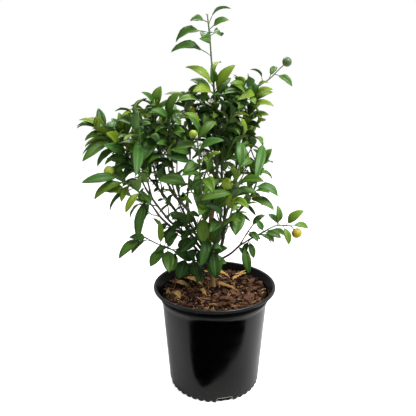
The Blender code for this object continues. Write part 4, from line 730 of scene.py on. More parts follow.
def seenFlat(point):
    # Where a point shows on the upright plane through the pot's middle, for the camera
    eye = Vector(cameraView["place"]) / mm
    return eye + (point - eye) * (-eye.y / (point.y - eye.y))


# Places that stay open, seen from the front: left, right, bottom and top
openPlaces = ((-204.0, -163.0, 627.0, 660.0), (88.0, 130.0, 540.0, 604.0))


def mayFill(leaf):
    # The fill stays high, out of the front where it would bury the leaves that show, out of the open
    # places and off the fruits
    rule, end = fillRule, leaf["tip"]
    spots = (seenFlat(end), seenFlat(leaf["base"].lerp(end, 0.55)))
    for left, right, bottom, top in openPlaces:
        if any(left < spot.x < right and bottom < spot.z < top for spot in spots):
            return False
    for limb, distance, centre, diameter, colour in fruitTable.values():
        fruit = seenFlat(Vector(centre))
        if end.y < centre[1] + rule["fruitClear"] and min((fruit - spot).length for spot in spots) < diameter:
            return False
    return spots[0].z > rule["lowest"] and (end.y > rule["front"] or end.z > rule["openAbove"])


def planFillers(space, limbs, shoots):
    # The leaves that the scene adds; those on bare wood show with the dry twigs
    dice = random.Random(seed + 3)
    rule = fillRule
    leaves = {name: [] for name in [*limbs, "twigs"]}
    for name, rows in moreLeaves.items():
        for row in rows:
            onWood = row[0] < limbs[name]["bare"]
            leaf = growSeenLeaf(space, dice, "trunk" if onWood else name, limbs[name]["route"], row,
                                rule["clear"], rule["step"], rule["slide"])
            if leaf:
                leaves["twigs" if onWood else name].append(leaf)
            else:
                print("no room for one more leaf on", name, "at", row[0])
    for name, distance, tip in moreTwigs:
        base = pointAt(limbs[name]["route"], distance)[0]
        middle = base.lerp(Vector(tip), 0.5) + Vector((0.0, 0.0, -rule["twigSag"]))
        shoots[name].append([base, middle, Vector(tip)])
    for name, limb in limbs.items():
        if name in stalkedLimbs:
            continue
        for route in [limb["leafy"]] + shoots[name]:
            grown = growAlong(space, dice, name, route, rule["first"], rule, mayFill)[0]
            leaves[name] += [leaf for leaf in grown if leaf]
    return leaves


def fruitStalk(limbs, limb, distance, centre, diameter):
    # From the limb's axis to just short of the fruit, straight towards its middle
    start = pointAt(limbs[limb]["route"], min(distance, limbs[limb]["total"]))[0]
    aim = (Vector(centre) - start).normalized()
    return start, Vector(centre) - aim * (diameter / 2.0 + gap), aim


def roughBall(centre, diameter, aim, grow=0.0, rings=6, sides=8, flatten=1.06):
    # A slightly flattened ball whose pole looks down its stalk
    turn = aim.to_track_quat("Z", "Y").to_matrix()
    radius = diameter / 2.0 + grow
    spots = [Vector((0, 0, -radius))]
    for k in range(1, rings):
        polar = math.pi * k / rings
        wide = radius * flatten * math.sin(polar)
        for n in range(sides):
            around = math.tau * n / sides
            spots.append(Vector((wide * math.cos(around), wide * math.sin(around),
                                 -radius * math.cos(polar))))
    spots.append(Vector((0, 0, radius)))
    last, top = len(spots) - 1, 1 + (rings - 2) * sides
    faces = []
    for n in range(sides):
        m = (n + 1) % sides
        faces.append((0, 1 + m, 1 + n))
        for low in range(1, top, sides):
            faces.append((low + n, low + m, low + sides + m, low + sides + n))
        faces.append((last, top + n, top + m))
    return [Vector(centre) + turn @ spot for spot in spots], faces


# The rough solids that leaves keep clear of
roughRule = dict(trunkRadii=(7, 6), trunkSides=8, woodSides=5, leafySides=4, clear=0.6, fruitClear=1.2)


def planPlant():
    # The same draws in the same order as the solids, so that every leaf lies in its own solid
    dice = random.Random(seed)
    limbs = planLimbs()
    space = Space()
    rule = roughRule
    stem = roughTube([Vector(p) for p in trunkShape["route"]], rule["trunkRadii"], rule["trunkSides"])
    space.add("trunk", stem, stem)
    for name, limb in limbs.items():
        wide, cut, thin = limb["radii"][0], limb["cut"], limb["radii"][1]
        if limb["wood"]:
            wood = roughTube(limb["wood"], (wide, cut), rule["woodSides"], rule["clear"])
            space.add("trunk", wood, wood)
        leafy = roughTube(limb["leafy"], (cut, thin), rule["leafySides"], rule["clear"])
        space.add(name, leafy, leafy)
    stalks = {name: [] for name in limbs}
    for name, (limb, distance, centre, diameter, colour) in fruitTable.items():
        start, end, aim = fruitStalk(limbs, limb, distance, centre, diameter)
        fruit = roughBall(centre, diameter, aim, rule["fruitClear"])
        space.add(name, fruit, fruit)
        stalk = roughTube([start, end], (stalkRadius, stalkRadius), rule["leafySides"])
        space.add(limb, stalk, stalk)
        stalks[limb].append((start, end))
    shoots = planSideShoots(space, dice, limbs)
    leaves = planFoliage(space, dice, limbs, shoots)
    fillers = planFillers(space, limbs, shoots)
    print("plan:", sum(len(rows) for rows in leaves.values()), "leaves,",
          sum(len(rows) for rows in fillers.values()), "more in the scene and",
          sum(len(rows) for rows in shoots.values()), "side shoots")
    for name, rows in fillers.items():
        leaves[name] = leaves.get(name, []) + rows
    return limbs, shoots, leaves, stalks


def put(tree, kind, inputs=None, **settings):
    # A node with its settings, and its inputs set or linked by name or number
    made = tree.nodes.new(kind)
    for name, value in settings.items():
        setattr(made, name, value)
    for name, value in (inputs or {}).items():
        if isinstance(value, bpy.types.NodeSocket):
            tree.links.new(value, made.inputs[name])
        else:
            made.inputs[name].default_value = value
    return made


def blend(tree, mask, first, second):
    # Two colours mixed by a mask; a colour is a socket or three numbers
    ends = [c if isinstance(c, bpy.types.NodeSocket) else (*c, 1.0) for c in (first, second)]
    return put(tree, "ShaderNodeMix", {0: mask, 6: ends[0], 7: ends[1]}, data_type="RGBA").outputs[2]


def spread(tree, value, low, high, outLow=0.0, outHigh=1.0):
    return put(tree, "ShaderNodeMapRange", {"Value": value, "From Min": low, "From Max": high,
                                            "To Min": outLow, "To Max": outHigh}).outputs["Result"]


def tinge(tree, colour, mask, other, amount, low=0.0, high=1.0):
    # Up to this amount of another colour over the first, as the mask rises from low to high
    return blend(tree, spread(tree, mask, low, high, 0.0, amount), colour, other)


def maths(tree, operation, first, second=0.0):
    return put(tree, "ShaderNodeMath", {0: first, 1: second}, operation=operation).outputs[0]


def times(tree, first, second):
    return maths(tree, "MULTIPLY", first, second)


def plus(tree, first, second):
    return maths(tree, "ADD", first, second)


def noiseOf(tree, vector, scale, detail=4.0, rough=0.55, distortion=0.0):
    return put(tree, "ShaderNodeTexNoise", {"Vector": vector, "Scale": scale, "Detail": detail,
                                            "Roughness": rough, "Distortion": distortion}).outputs["Fac"]


def stretched(tree, vector, size):
    return put(tree, "ShaderNodeMapping", {"Vector": vector, "Scale": size}).outputs["Vector"]


def attribute(tree, name):
    return put(tree, "ShaderNodeAttribute", attribute_name=name).outputs["Fac"]


def newGroup(name, takes, gives):
    # An effect: its tree, what it takes (a vector where no value is given) and what it gives
    group = bpy.data.node_groups.new(name, "ShaderNodeTree")
    for label, value in takes:
        kind = "NodeSocketVector" if value is None else "NodeSocketFloat"
        socket = group.interface.new_socket(name=label, in_out="INPUT", socket_type=kind)
        if value is not None:
            socket.default_value = value
    for label in gives:
        group.interface.new_socket(name=label, in_out="OUTPUT", socket_type="NodeSocketFloat")
    return group, put(group, "NodeGroupInput").outputs, put(group, "NodeGroupOutput").inputs


def effect(tree, group, inputs):
    # What one of the shared effects gives
    return put(tree, "ShaderNodeGroup", inputs, node_tree=group).outputs


def newMaterial(name, shade):
    # shade is set on the shader's own sockets
    made = bpy.data.materials.new(name)
    made.use_nodes = True
    tree = made.node_tree
    shader = tree.nodes["Principled BSDF"]
    for label, value in shade.items():
        shader.inputs[label].default_value = value
    return made, tree, shader


def spotted(tree, broad, fine):
    # The surface's place and its UV, with broad and fine blotches at these scales
    place = put(tree, "ShaderNodeTexCoord").outputs
    spots = effect(tree, mottle, {"Vector": place["Object"], "Broad Scale": broad, "Fine Scale": fine})
    return place["Object"], place["UV"], spots["Broad"], spots["Fine"]


def dress(tree, shader, colour, rough, relief, strength, distance):
    # Colour, roughness and relief go onto the shader; the distance is in metres
    bump = put(tree, "ShaderNodeBump", {"Height": relief, "Strength": strength, "Distance": distance})
    tree.links.new(colour, shader.inputs["Base Color"])
    tree.links.new(rough, shader.inputs["Roughness"])
    tree.links.new(bump.outputs["Normal"], shader.inputs["Normal"])


# Effects that several finishes share
def makeMottle():
    # Broad and fine blotches, for colour that is never even
    group, takes, gives = newGroup("mottle", (("Vector", None), ("Broad Scale", 30.0), ("Fine Scale", 300.0)),
                                   ("Broad", "Fine"))
    broad = noiseOf(group, takes["Vector"], takes["Broad Scale"], 3.0)
    fine = noiseOf(group, takes["Vector"], takes["Fine Scale"], 5.0, 0.65)
    group.links.new(spread(group, broad, 0.3, 0.7), gives["Broad"])
    group.links.new(spread(group, fine, 0.3, 0.7), gives["Fine"])
    return group


def makeFibre():
    # Long fine streaks along V, as in bark, wood and dry leaf
    group, takes, gives = newGroup("fibre", (("UV", None), ("Across", 40.0), ("Along", 4.0)),
                                   ("Grain", "Crack"))
    size = put(group, "ShaderNodeCombineXYZ", {"X": takes["Across"], "Y": takes["Along"], "Z": 1.0})
    along = put(group, "ShaderNodeVectorMath", {0: takes["UV"], 1: size.outputs[0]},
                operation="MULTIPLY").outputs[0]
    grain = noiseOf(group, along, 1.0, 6.0, 0.7, 0.25)
    crack = put(group, "ShaderNodeTexVoronoi", {"Vector": along, "Scale": 0.6},
                feature="DISTANCE_TO_EDGE").outputs["Distance"]
    group.links.new(spread(group, grain, 0.32, 0.68), gives["Grain"])
    group.links.new(spread(group, crack, 0.0, 0.09, 1.0, 0.0), gives["Crack"])
    return group


def makeVeins():
    # A midrib and pairs of slanting side veins, drawn on a leaf's own UV
    group, takes, gives = newGroup("leafVeins", (("UV", None), ("Pairs", 9.0), ("Slant", 0.55)),
                                   ("Midrib", "Side Veins", "Pillow"))
    split = put(group, "ShaderNodeSeparateXYZ", {0: takes["UV"]}).outputs
    fromRib = maths(group, "ABSOLUTE", maths(group, "SUBTRACT", split["X"], 0.5))
    along = maths(group, "SUBTRACT", split["Y"], times(group, fromRib, takes["Slant"]))
    phase = maths(group, "FRACT", times(group, along, takes["Pairs"]))
    ridge = maths(group, "ABSOLUTE", maths(group, "SUBTRACT", phase, 0.5))
    group.links.new(spread(group, fromRib, 0.012, 0.045, 1.0, 0.0), gives["Midrib"])
    group.links.new(spread(group, ridge, 0.0, 0.07, 1.0, 0.0), gives["Side Veins"])
    group.links.new(times(group, ridge, 2.0), gives["Pillow"])
    return group


def makePeel():
    # The pitted oil glands of citrus peel
    group, takes, gives = newGroup("citrusPeel", (("Vector", None), ("Pore Scale", 900.0)),
                                   ("Pores", "Blotch"))
    pores = put(group, "ShaderNodeTexVoronoi", {"Vector": takes["Vector"], "Scale": takes["Pore Scale"]})
    blotch = noiseOf(group, takes["Vector"], 95.0, 4.0)
    group.links.new(spread(group, pores.outputs["Distance"], 0.0, 0.45), gives["Pores"])
    group.links.new(spread(group, blotch, 0.35, 0.65), gives["Blotch"])
    return group


def makeDust():
    # Dry soil dust that gathers low down and on whatever faces up
    group, takes, gives = newGroup("dust", (("Vector", None), ("Bottom", 0.0), ("Reach", 0.05),
                                            ("Grit", 260.0)), ("Dust",))
    height = put(group, "ShaderNodeSeparateXYZ", {0: takes["Vector"]}).outputs["Z"]
    above = maths(group, "DIVIDE", maths(group, "SUBTRACT", height, takes["Bottom"]), takes["Reach"])
    low = spread(group, above, 0.0, 1.0, 1.0, 0.0)
    facing = put(group, "ShaderNodeNewGeometry").outputs["Normal"]
    up = spread(group, put(group, "ShaderNodeSeparateXYZ", {0: facing}).outputs["Z"], 0.35, 1.0, 0.0, 0.45)
    grit = spread(group, noiseOf(group, takes["Vector"], takes["Grit"], 6.0, 0.7), 0.35, 0.7)
    group.links.new(times(group, maths(group, "MAXIMUM", low, up), grit), gives["Dust"])
    return group


mottle, fibre, veins, peel, dust = makeMottle(), makeFibre(), makeVeins(), makePeel(), makeDust()

# In each finish, a name that ends in Shows is how much of a mark's colour is seen, and a relief is its
# strength and its depth in metres
# The greens from dark to young follow a leaf's tone, so they carry painted shade and painted light as well as
# age
leafFinish = dict(dark=(0.013, 0.044, 0.005), middle=(0.064, 0.146, 0.010), young=(0.182, 0.275, 0.012),
                  cool=(0.030, 0.130, 0.030), under=(0.100, 0.200, 0.060), rib=(0.19, 0.28, 0.06),
                  gloss=0.41, underGloss=0.6, spots=(38.0, 240.0), uneven=0.09, coolShows=(0.35, 0.7),
                  speckShows=0.1, veinShows=0.12, ribShows=0.4, underRibShows=0.7, relief=(0.35, 0.0004))


def leafMaterial():
    look = leafFinish
    made, tree, shader = newMaterial("calamondinLeaf", {"IOR": 1.45, "Specular IOR Level": 0.3})
    flat, broad, fine = spotted(tree, *look["spots"])[1:]
    # A leaf's tone holds its age and also the painted shade and painted light of where it stands
    tone, under = attribute(tree, "tone"), attribute(tree, "under")
    lines = effect(tree, veins, {"UV": flat})
    shaken = plus(tree, tone, spread(tree, broad, 0.0, 1.0, -look["uneven"], look["uneven"]))
    cool = times(tree, attribute(tree, "cool"), spread(tree, shaken, 0.1, 0.9, *look["coolShows"]))
    top = tinge(tree, look["dark"], shaken, look["middle"], 1.0, 0.0, 0.5)
    top = tinge(tree, top, shaken, look["young"], 1.0, 0.5, 1.0)
    top = blend(tree, cool, top, look["cool"])
    top = tinge(tree, top, fine, look["middle"], look["speckShows"])
    top = tinge(tree, top, lines["Side Veins"], look["rib"], look["veinShows"])
    top = tinge(tree, top, lines["Midrib"], look["rib"], look["ribShows"])
    below = tinge(tree, look["dark"], tone, look["under"], 1.0, 0.0, 0.5)
    below = tinge(tree, below, tone, look["young"], 0.9, 0.55, 1.0)
    below = tinge(tree, below, lines["Midrib"], look["rib"], look["underRibShows"])
    rough = spread(tree, fine, 0.0, 1.0, look["gloss"] - 0.04, look["gloss"] + 0.09)
    rough = plus(tree, rough, times(tree, under, look["underGloss"] - look["gloss"]))
    relief = plus(tree, times(tree, lines["Pillow"], 0.5), times(tree, lines["Midrib"], -0.8))
    relief = plus(tree, relief, times(tree, fine, 0.02))
    dress(tree, shader, blend(tree, under, top, below), rough, relief, *look["relief"])
    return made


twigFinish = dict(green=(0.110, 0.170, 0.045), olive=(0.052, 0.056, 0.024), bark=(0.460, 0.270, 0.105),
                  pale=(0.24, 0.20, 0.12), gloss=0.5, oldGloss=0.85, spots=(60.0, 700.0), streaks=(9.0, 30.0),
                  grainShows=0.22, lenticelShows=0.5, relief=(0.5, 0.0006))


def twigMaterial():
    look = twigFinish
    made, tree, shader = newMaterial("twigBark", {"IOR": 1.45})
    flat, broad, fine = spotted(tree, *look["spots"])[1:]
    age = attribute(tree, "age")
    across, along = look["streaks"]
    grain = effect(tree, fibre, {"UV": flat, "Across": across, "Along": along})["Grain"]
    wood = tinge(tree, look["green"], age, look["olive"], 1.0, 0.0, 0.4)
    wood = tinge(tree, wood, age, look["bark"], 1.0, 0.6, 1.0)
    wood = tinge(tree, wood, grain, look["olive"], look["grainShows"])
    wood = tinge(tree, wood, fine, look["pale"], look["lenticelShows"], 0.82, 1.0)
    rough = spread(tree, age, 0.0, 1.0, look["gloss"], look["oldGloss"])
    dress(tree, shader, wood, rough, plus(tree, times(tree, grain, age), fine), *look["relief"])
    return made


# worn is the pale scuffed plastic, and also the colour of the painted highlights along the pot's edges
potFinish = dict(black=(0.0005, 0.00055, 0.0005), worn=(0.050, 0.053, 0.050), dust=(0.034, 0.034, 0.030),
                 gloss=0.15, smudge=0.10, shine=0.28, shadedInsideShine=0.1, spots=(9.0, 520.0),
                 smear=(14.0, 14.0, 60.0), scratch=(500.0, 500.0, 22.0), scratchShows=0.1, edgeHighlightShows=0.3,
                 dustShows=0.55, dustReach=0.07, grit=170.0, relief=(0.18, 0.0002),
                 scuffedAndLit=((0.16, 0.15, 0.13), (0.46, 0.43, 0.37)))


def potMaterial(name, shine):
    look = potFinish
    made, tree, shader = newMaterial(name, {"IOR": 1.5, "Specular IOR Level": shine})
    place, flat, broad, fine = spotted(tree, *look["spots"])
    smear = noiseOf(tree, stretched(tree, place, look["smear"]), 1.0, 5.0, 0.6, 0.6)
    scratch = noiseOf(tree, stretched(tree, place, look["scratch"]), 1.0, 2.0, 0.5)
    scratch = spread(tree, scratch, 0.66, 0.75)
    dirt = effect(tree, dust, {"Vector": place, "Bottom": -0.004, "Reach": look["dustReach"],
                               "Grit": look["grit"]})["Dust"]
    # Sharp edges take the paler colour as a painted highlight
    edge = spread(tree, put(tree, "ShaderNodeNewGeometry").outputs["Pointiness"], 0.515, 0.56)
    colour = blend(tree, times(tree, scratch, look["scratchShows"]), look["black"], look["worn"])
    colour = blend(tree, times(tree, edge, look["edgeHighlightShows"]), colour, look["worn"])
    # The rub attribute paints wear and a highlight along the ledge and the lip
    colour = blend(tree, attribute(tree, "rub"), colour, look["worn"])
    colour = blend(tree, times(tree, dirt, look["dustShows"]), colour, look["dust"])
    rough = spread(tree, broad, 0.0, 1.0, look["gloss"] - 0.03, look["gloss"] + 0.08)
    rough = plus(tree, rough, spread(tree, smear, 0.45, 0.75, 0.0, look["smudge"]))
    rough = plus(tree, rough, times(tree, dirt, 0.25))
    relief = plus(tree, times(tree, fine, 0.35), times(tree, scratch, -0.6))
    dress(tree, shader, colour, rough, relief, *look["relief"])
    return made


def scuffedHighlightMaterial():
    # The paler plastic of the drain beads: scuffed, and a painted highlight along each notch's edge
    made, tree, shader = newMaterial("scuffedLitPlastic", {"IOR": 1.5})
    broad, fine = spotted(tree, 160.0, 900.0)[2:]
    colour = blend(tree, broad, *potFinish["scuffedAndLit"])
    dress(tree, shader, colour, spread(tree, fine, 0.0, 1.0, 0.45, 0.7), fine, 0.3, 0.0003)
    return made


# wet is near black: damp soil, and the painted shadow between crumbs
earthFinish = dict(wet=(0.0025, 0.0016, 0.0012), brown=(0.040, 0.019, 0.011), rust=(0.190, 0.084, 0.044),
                   tan=(0.480, 0.300, 0.120), straw=(0.840, 0.660, 0.340), soilSpots=(70.0, 650.0),
                   mulchSpots=(180.0, 900.0), rustShows=0.7, wetAndShadowShows=0.35, soilRelief=(1.0, 0.0015),
                   mulchRelief=(0.8, 0.0008),
                   bands=dict(brown=(0.0, 0.35), rust=(0.35, 0.65), tan=(0.65, 0.85), straw=(0.85, 1.0)))


def soilMaterial():
    look = earthFinish
    made, tree, shader = newMaterial("pottingSoil", {"IOR": 1.4, "Specular IOR Level": 0.05})
    broad, fine = spotted(tree, *look["soilSpots"])[2:]
    # Broad blotches run from near black, damp soil and painted shadow, to brown
    colour = blend(tree, broad, look["wet"], look["brown"])
    colour = tinge(tree, colour, fine, look["rust"], look["rustShows"], 0.75, 1.0)
    dress(tree, shader, colour, spread(tree, fine, 0.0, 1.0, 0.8, 1.0), fine, *look["soilRelief"])
    return made


def mulchMaterial():
    # From near black, for wet crumbs and painted shadow between them, to straw by the tint of each crumb
    look = earthFinish
    made, tree, shader = newMaterial("barkMulch", {"IOR": 1.4, "Specular IOR Level": 0.12})
    broad, fine = spotted(tree, *look["mulchSpots"])[2:]
    tint = attribute(tree, "tint")
    colour = look["wet"]
    for name, (low, high) in look["bands"].items():
        colour = tinge(tree, colour, tint, look[name], 1.0, low, high)
    # Fine spots darken towards near black, for damp bark and painted shadow in the gaps
    colour = blend(tree, spread(tree, fine, 0.0, 1.0, look["wetAndShadowShows"], 0.0), colour, look["wet"])
    dress(tree, shader, colour, spread(tree, broad, 0.0, 1.0, 0.65, 0.95), fine, *look["mulchRelief"])
    return made


dryFinish = {"woodStrip": dict(light=(0.95, 0.63, 0.22), dark=(0.22, 0.095, 0.025), across=14.0, along=3.2),
             "dryLeaf": dict(light=(0.74, 0.50, 0.18), dark=(0.20, 0.11, 0.035), across=22.0, along=6.0),
             "barkChip": dict(light=(0.26, 0.125, 0.070), dark=(0.030, 0.014, 0.009), across=12.0, along=3.5)}


def dryMaterial(name):
    # Wood, dry leaf or bark, with its fibres along the piece's own UV
    look = dryFinish[name]
    made, tree, shader = newMaterial(name, {"IOR": 1.42, "Specular IOR Level": 0.2})
    flat, broad, fine = spotted(tree, 120.0, 900.0)[1:]
    streaks = effect(tree, fibre, {"UV": flat, "Across": look["across"], "Along": look["along"]})
    colour = blend(tree, streaks["Grain"], look["dark"], look["light"])
    colour = blend(tree, spread(tree, broad, 0.0, 1.0, 0.45, 0.0), colour, look["dark"])
    colour = tinge(tree, colour, streaks["Crack"], look["dark"], 0.85)
    relief = plus(tree, streaks["Grain"], times(tree, fine, 0.4))
    if name == "dryLeaf":
        lines = effect(tree, veins, {"UV": flat, "Pairs": 8.0})
        colour = tinge(tree, colour, lines["Midrib"], look["light"], 0.6)
        relief = plus(tree, relief, times(tree, lines["Pillow"], 0.8))
    dress(tree, shader, colour, spread(tree, streaks["Grain"], 0.0, 1.0, 0.85, 0.6), relief, 0.7, 0.0009)
    return made


fruitFinish = {"orange": dict(skin=(0.47, 0.27, 0.007), blush=(0.30, 0.29, 0.010)),
               "green": dict(skin=(0.030, 0.075, 0.016), blush=(0.110, 0.180, 0.055)),
               "lime": dict(skin=(0.420, 0.510, 0.040), blush=(0.270, 0.400, 0.034))}


def fruitMaterial(name):
    look = fruitFinish[name]
    made, tree, shader = newMaterial(name + "Peel", {"IOR": 1.46, "Coat Weight": 0.12,
                                                     "Coat Roughness": 0.25})
    place = put(tree, "ShaderNodeTexCoord").outputs["Object"]
    skin = effect(tree, peel, {"Vector": place, "Pore Scale": 850.0})
    mask = times(tree, plus(tree, attribute(tree, "nearStalk"), skin["Blotch"]), 0.55)
    colour = blend(tree, mask, look["skin"], look["blush"])
    colour = blend(tree, spread(tree, skin["Pores"], 0.0, 0.5, 0.25, 0.0), colour, look["blush"])
    rough = spread(tree, skin["Blotch"], 0.0, 1.0, 0.34, 0.44)
    dress(tree, shader, colour, rough, skin["Pores"], 0.45, 0.0005)
    return made


petalFinish = dict(petal=(0.93, 0.93, 0.86), base=(0.70, 0.50, 0.24), grainShows=0.18, relief=(0.3, 0.0003))


def petalMaterial():
    look = petalFinish
    made, tree, shader = newMaterial("blossomPetal", {"IOR": 1.4, "Specular IOR Level": 0.3})
    flat = put(tree, "ShaderNodeTexCoord").outputs["UV"]
    grain = effect(tree, fibre, {"UV": flat, "Across": 22.0, "Along": 3.0})["Grain"]
    colour = tinge(tree, look["petal"], grain, look["base"], look["grainShows"])
    colour = blend(tree, attribute(tree, "warm"), colour, look["base"])
    dress(tree, shader, colour, spread(tree, grain, 0.0, 1.0, 0.5, 0.65), grain, *look["relief"])
    return made


finishes = {
    "leaf": leafMaterial(),
    "twig": twigMaterial(),
    "pot": potMaterial("blackPotPlastic", potFinish["shine"]),
    # The inside copy has less shine, as painted shade
    "potShadedInside": potMaterial("blackPotShadedInside", potFinish["shadedInsideShine"]),
    "worn": scuffedHighlightMaterial(),
    "soil": soilMaterial(),
    "mulch": mulchMaterial(),
    "petal": petalMaterial()}
finishes.update({name: dryMaterial(name) for name in dryFinish})
finishes.update({name: fruitMaterial(name) for name in fruitFinish})
print("finishes:", ", ".join(finishes))


def toObject(name, bm):
    # The bmesh becomes an object of the scene
    mesh = bpy.data.meshes.new(name)
    bm.to_mesh(mesh)
    bm.free()
    made = bpy.data.objects.new(name, mesh)
    bpy.context.scene.collection.objects.link(made)
    return made


def makePiece(name, bm, slots, slot, nodes=(), smooth=60.0):
    # Every piece stands still on the one body, with its place in its mesh
    piece = toObject(name, bm)
    for finish in slots:
        piece.data.materials.append(finishes[finish])
    piece.data.shade_smooth()
    if smooth:
        piece.data.set_sharp_from_angle(angle=math.radians(smooth))
    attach(piece, "root")
    if nodes:
        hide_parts(*nodes)
    return piece


def pieceName(words):
    # fruit_low_right becomes fruitLowRight
    first, *rest = words.split("_")
    return first + "".join(word.capitalize() for word in rest)


def spin(bm, profile, steps):
    # A (radius, height) profile in millimetres, turned once about Z
    line = [bm.verts.new((r * mm, 0.0, z * mm)) for r, z in profile]
    edges = [bm.edges.new(pair) for pair in zip(line, line[1:])]
    bmesh.ops.spin(bm, geom=line + edges, cent=(0, 0, 0), axis=(0, 0, 1), angle=math.tau, steps=steps,
                   use_merge=True, use_duplicate=False)
    bmesh.ops.remove_doubles(bm, verts=bm.verts, dist=0.000005)
    bmesh.ops.recalc_face_normals(bm, faces=bm.faces)


def cutAway(piece, cutters):
    # Booleans leave the piece's own finish on the cut faces
    for bm in cutters:
        tool = toObject("cutter", bm)
        cut = piece.modifiers.new("cut", "BOOLEAN")
        cut.operation, cut.solver, cut.object = "DIFFERENCE", "EXACT", tool
        bpy.context.view_layer.update()
        done = bpy.data.meshes.new_from_object(piece.evaluated_get(bpy.context.evaluated_depsgraph_get()))
        piece.modifiers.clear()
        piece.data = done
        bpy.data.objects.remove(tool, do_unlink=True)


def potProfile():
    # Half of the pot's section: up the outside, over the rim and down the inside
    p = potShape
    body, top, neck = p["bodyRadius"], p["bodyTop"], p["bodyRadius"] + p["neckOut"]
    ledge, flare, wide = body + p["ledgeOut"], top + p["flareAbove"], body + p["flareOut"]
    foot, wall, floor = p["footRadius"], p["wall"], p["floor"]
    lip, height, edge = p["lipRadius"], p["height"], p["height"] - p["lipEdge"]
    outside = [(0, 0.8), (foot - 16.0, 0.8), (foot - 15.0, 0), (foot - 3.0, 0), (foot - 1.0, 0.5),
               (foot, 1.8)]
    levels = (3.2, 4.6, 6.0, 7.4, 9.0, 14.0, 24.0, 60.0, 110.0, 160.0, 200.0)
    outside += [(foot + potSlope * z, z) for z in levels]
    outside += [(body - 0.2, top - 1.0), (body + 0.6, top - 0.1), (ledge - 0.8, top + 1.4),
                (ledge, top + 2.4), (ledge, top + 5.6), (ledge - 0.7, top + 6.5), (neck + 0.4, top + 7.3),
                (neck, top + 8.6), (wide - 0.6, flare - 1.6), (wide + 1.2, flare + 0.6),
                (lip - 5.0, edge - 3.2), (lip - 1.4, edge - 1.2)]
    rim = [(lip, edge), (lip, height - 2.6), (lip - 0.5, height - 1.2), (lip - 1.6, height - 0.3),
           (lip - 3.0, height), (lip - 4.6, height - 0.5), (lip - 6.4, height - 2.0)]
    inside = [(wide - wall + 1.4, flare + 0.8), (wide - wall - 0.6, flare - 1.4), (neck - wall, top + 8.6),
              (body - wall + 0.4, top + 2.0), (body - wall, top - 4.0),
              (foot - wall + potSlope * 40.0, 40.0), (foot - wall + potSlope * floor, floor), (0, floor)]
    return outside + rim + inside


def drainCutters():
    # A block with two round upper corners for each drain notch
    p = potShape
    foot = p["footRadius"]
    for angle in p["drainAngles"]:
        cutter = bmesh.new()
        bmesh.ops.create_cube(cutter, size=1.0)
        for v in cutter.verts:
            wide = p["drainWidth"] - (2 * p["drainTaper"] if v.co.z > 0 else 0.0)
            v.co = Vector((foot - p["drainDepth"] if v.co.x < 0 else foot + 6.0, v.co.y * wide,
                           p["drainHeight"] if v.co.z > 0 else -2.0)) * mm
        upright = [e for e in cutter.edges if all(v.co.z > 0 for v in e.verts) and
                   abs(e.verts[0].co.y - e.verts[1].co.y) < mm]
        bmesh.ops.bevel(cutter, geom=upright, offset=p["drainCorner"] * mm, segments=4, profile=0.5,
                        affect="EDGES", material=-1)
        bmesh.ops.rotate(cutter, verts=cutter.verts, cent=(0, 0, 0),
                         matrix=Matrix.Rotation(math.radians(angle), 3, "Z"))
        yield cutter


def addBeads(bm):
    # A thin bead round each drain notch, paler for wear and as a painted highlight on its edge
    p = potShape
    half, high, taper, corner = p["drainWidth"] / 2.0, p["drainHeight"], p["drainTaper"], p["drainCorner"]
    path = [(-half, 1.2), (-half + taper, high - 0.6), (-half + taper + corner, high + 0.5),
            (-half * 0.3, high + 0.6)]
    path += [(-y, z) for y, z in reversed(path)]
    for angle in p["drainAngles"]:
        turn = Matrix.Rotation(math.radians(angle), 3, "Z")
        away = [math.sqrt((p["footRadius"] + potSlope * z) ** 2 - y * y) for y, z in path]
        route = [turn @ Vector((x - 0.2, y, z)) for x, (y, z) in zip(away, path)]
        stemSkin(bm, smoothRoute(route, 2.0), (p["drainBead"],) * 2, 8, (0.0, 0.0), finish=2)


def makePot():
    p = potShape
    top, neck, height, lip = p["bodyTop"], p["bodyRadius"] + p["neckOut"], p["height"], p["lipRadius"]
    bm = bmesh.new()
    spin(bm, potProfile(), p["steps"])
    rub = bm.verts.layers.float.new("rub")
    for v in bm.verts:
        # The edges of ledge and lip are paler, for rubbing and as a painted highlight, and the foot has a row
        # of small lobes
        away = math.hypot(v.co.x, v.co.y) / mm
        z = v.co.z / mm
        onLedge = top + 5.0 < z < top + 6.8 and away > neck + 1.0
        onLip = abs(z - height + p["lipEdge"]) < 1.0 and away > lip - 1.0
        v[rub] = max(1.0 if onLedge else 0.0, 0.35 if onLip else 0.0, 0.3 if z > height - 1.0 else 0.0)
        if z < p["lobeTop"] and away > p["footRadius"] - 6.0:
            fade = 1.0 - z / p["lobeTop"]
            lobe = abs(math.sin(0.5 * p["lobes"] * math.atan2(v.co.y, v.co.x))) ** 0.6
            grown = 1.0 + (p["lobeOut"] * (lobe - 1.0) * fade ** 1.5) / away
            v.co.x *= grown
            v.co.y *= grown
            v.co.z += p["lobeNotch"] * mm * (1.0 - lobe) * fade
    for f in bm.faces:
        # The inner wall takes a copy of the finish with less shine, a painted shade for the inside
        middle = f.calc_center_median() / mm
        if p["floor"] < middle.z < height - 2.0 and f.normal.x * middle.x + f.normal.y * middle.y < 0.0:
            f.material_index = 1
    piece = makePiece("nurseryPot", bm, ["pot", "potShadedInside"], "pot", ["pot"], p["sharp"])
    cutAway(piece, drainCutters())
    bm = bmesh.new()
    bm.from_mesh(piece.data)
    addBeads(bm)
    bm.to_mesh(piece.data)
    bm.free()
    piece.data.materials.append(finishes["worn"])
    piece.data.shade_smooth()
    piece.data.set_sharp_from_angle(angle=math.radians(p["sharp"]))


def rimRise(x, y):
    # The soil climbs a little towards the wall
    share = min(max((math.hypot(x, y) - soilShape["riseFrom"]) / soilShape["riseOver"], 0.0), 1.0)
    return soilShape["rise"] * share * share * (3.0 - 2.0 * share)


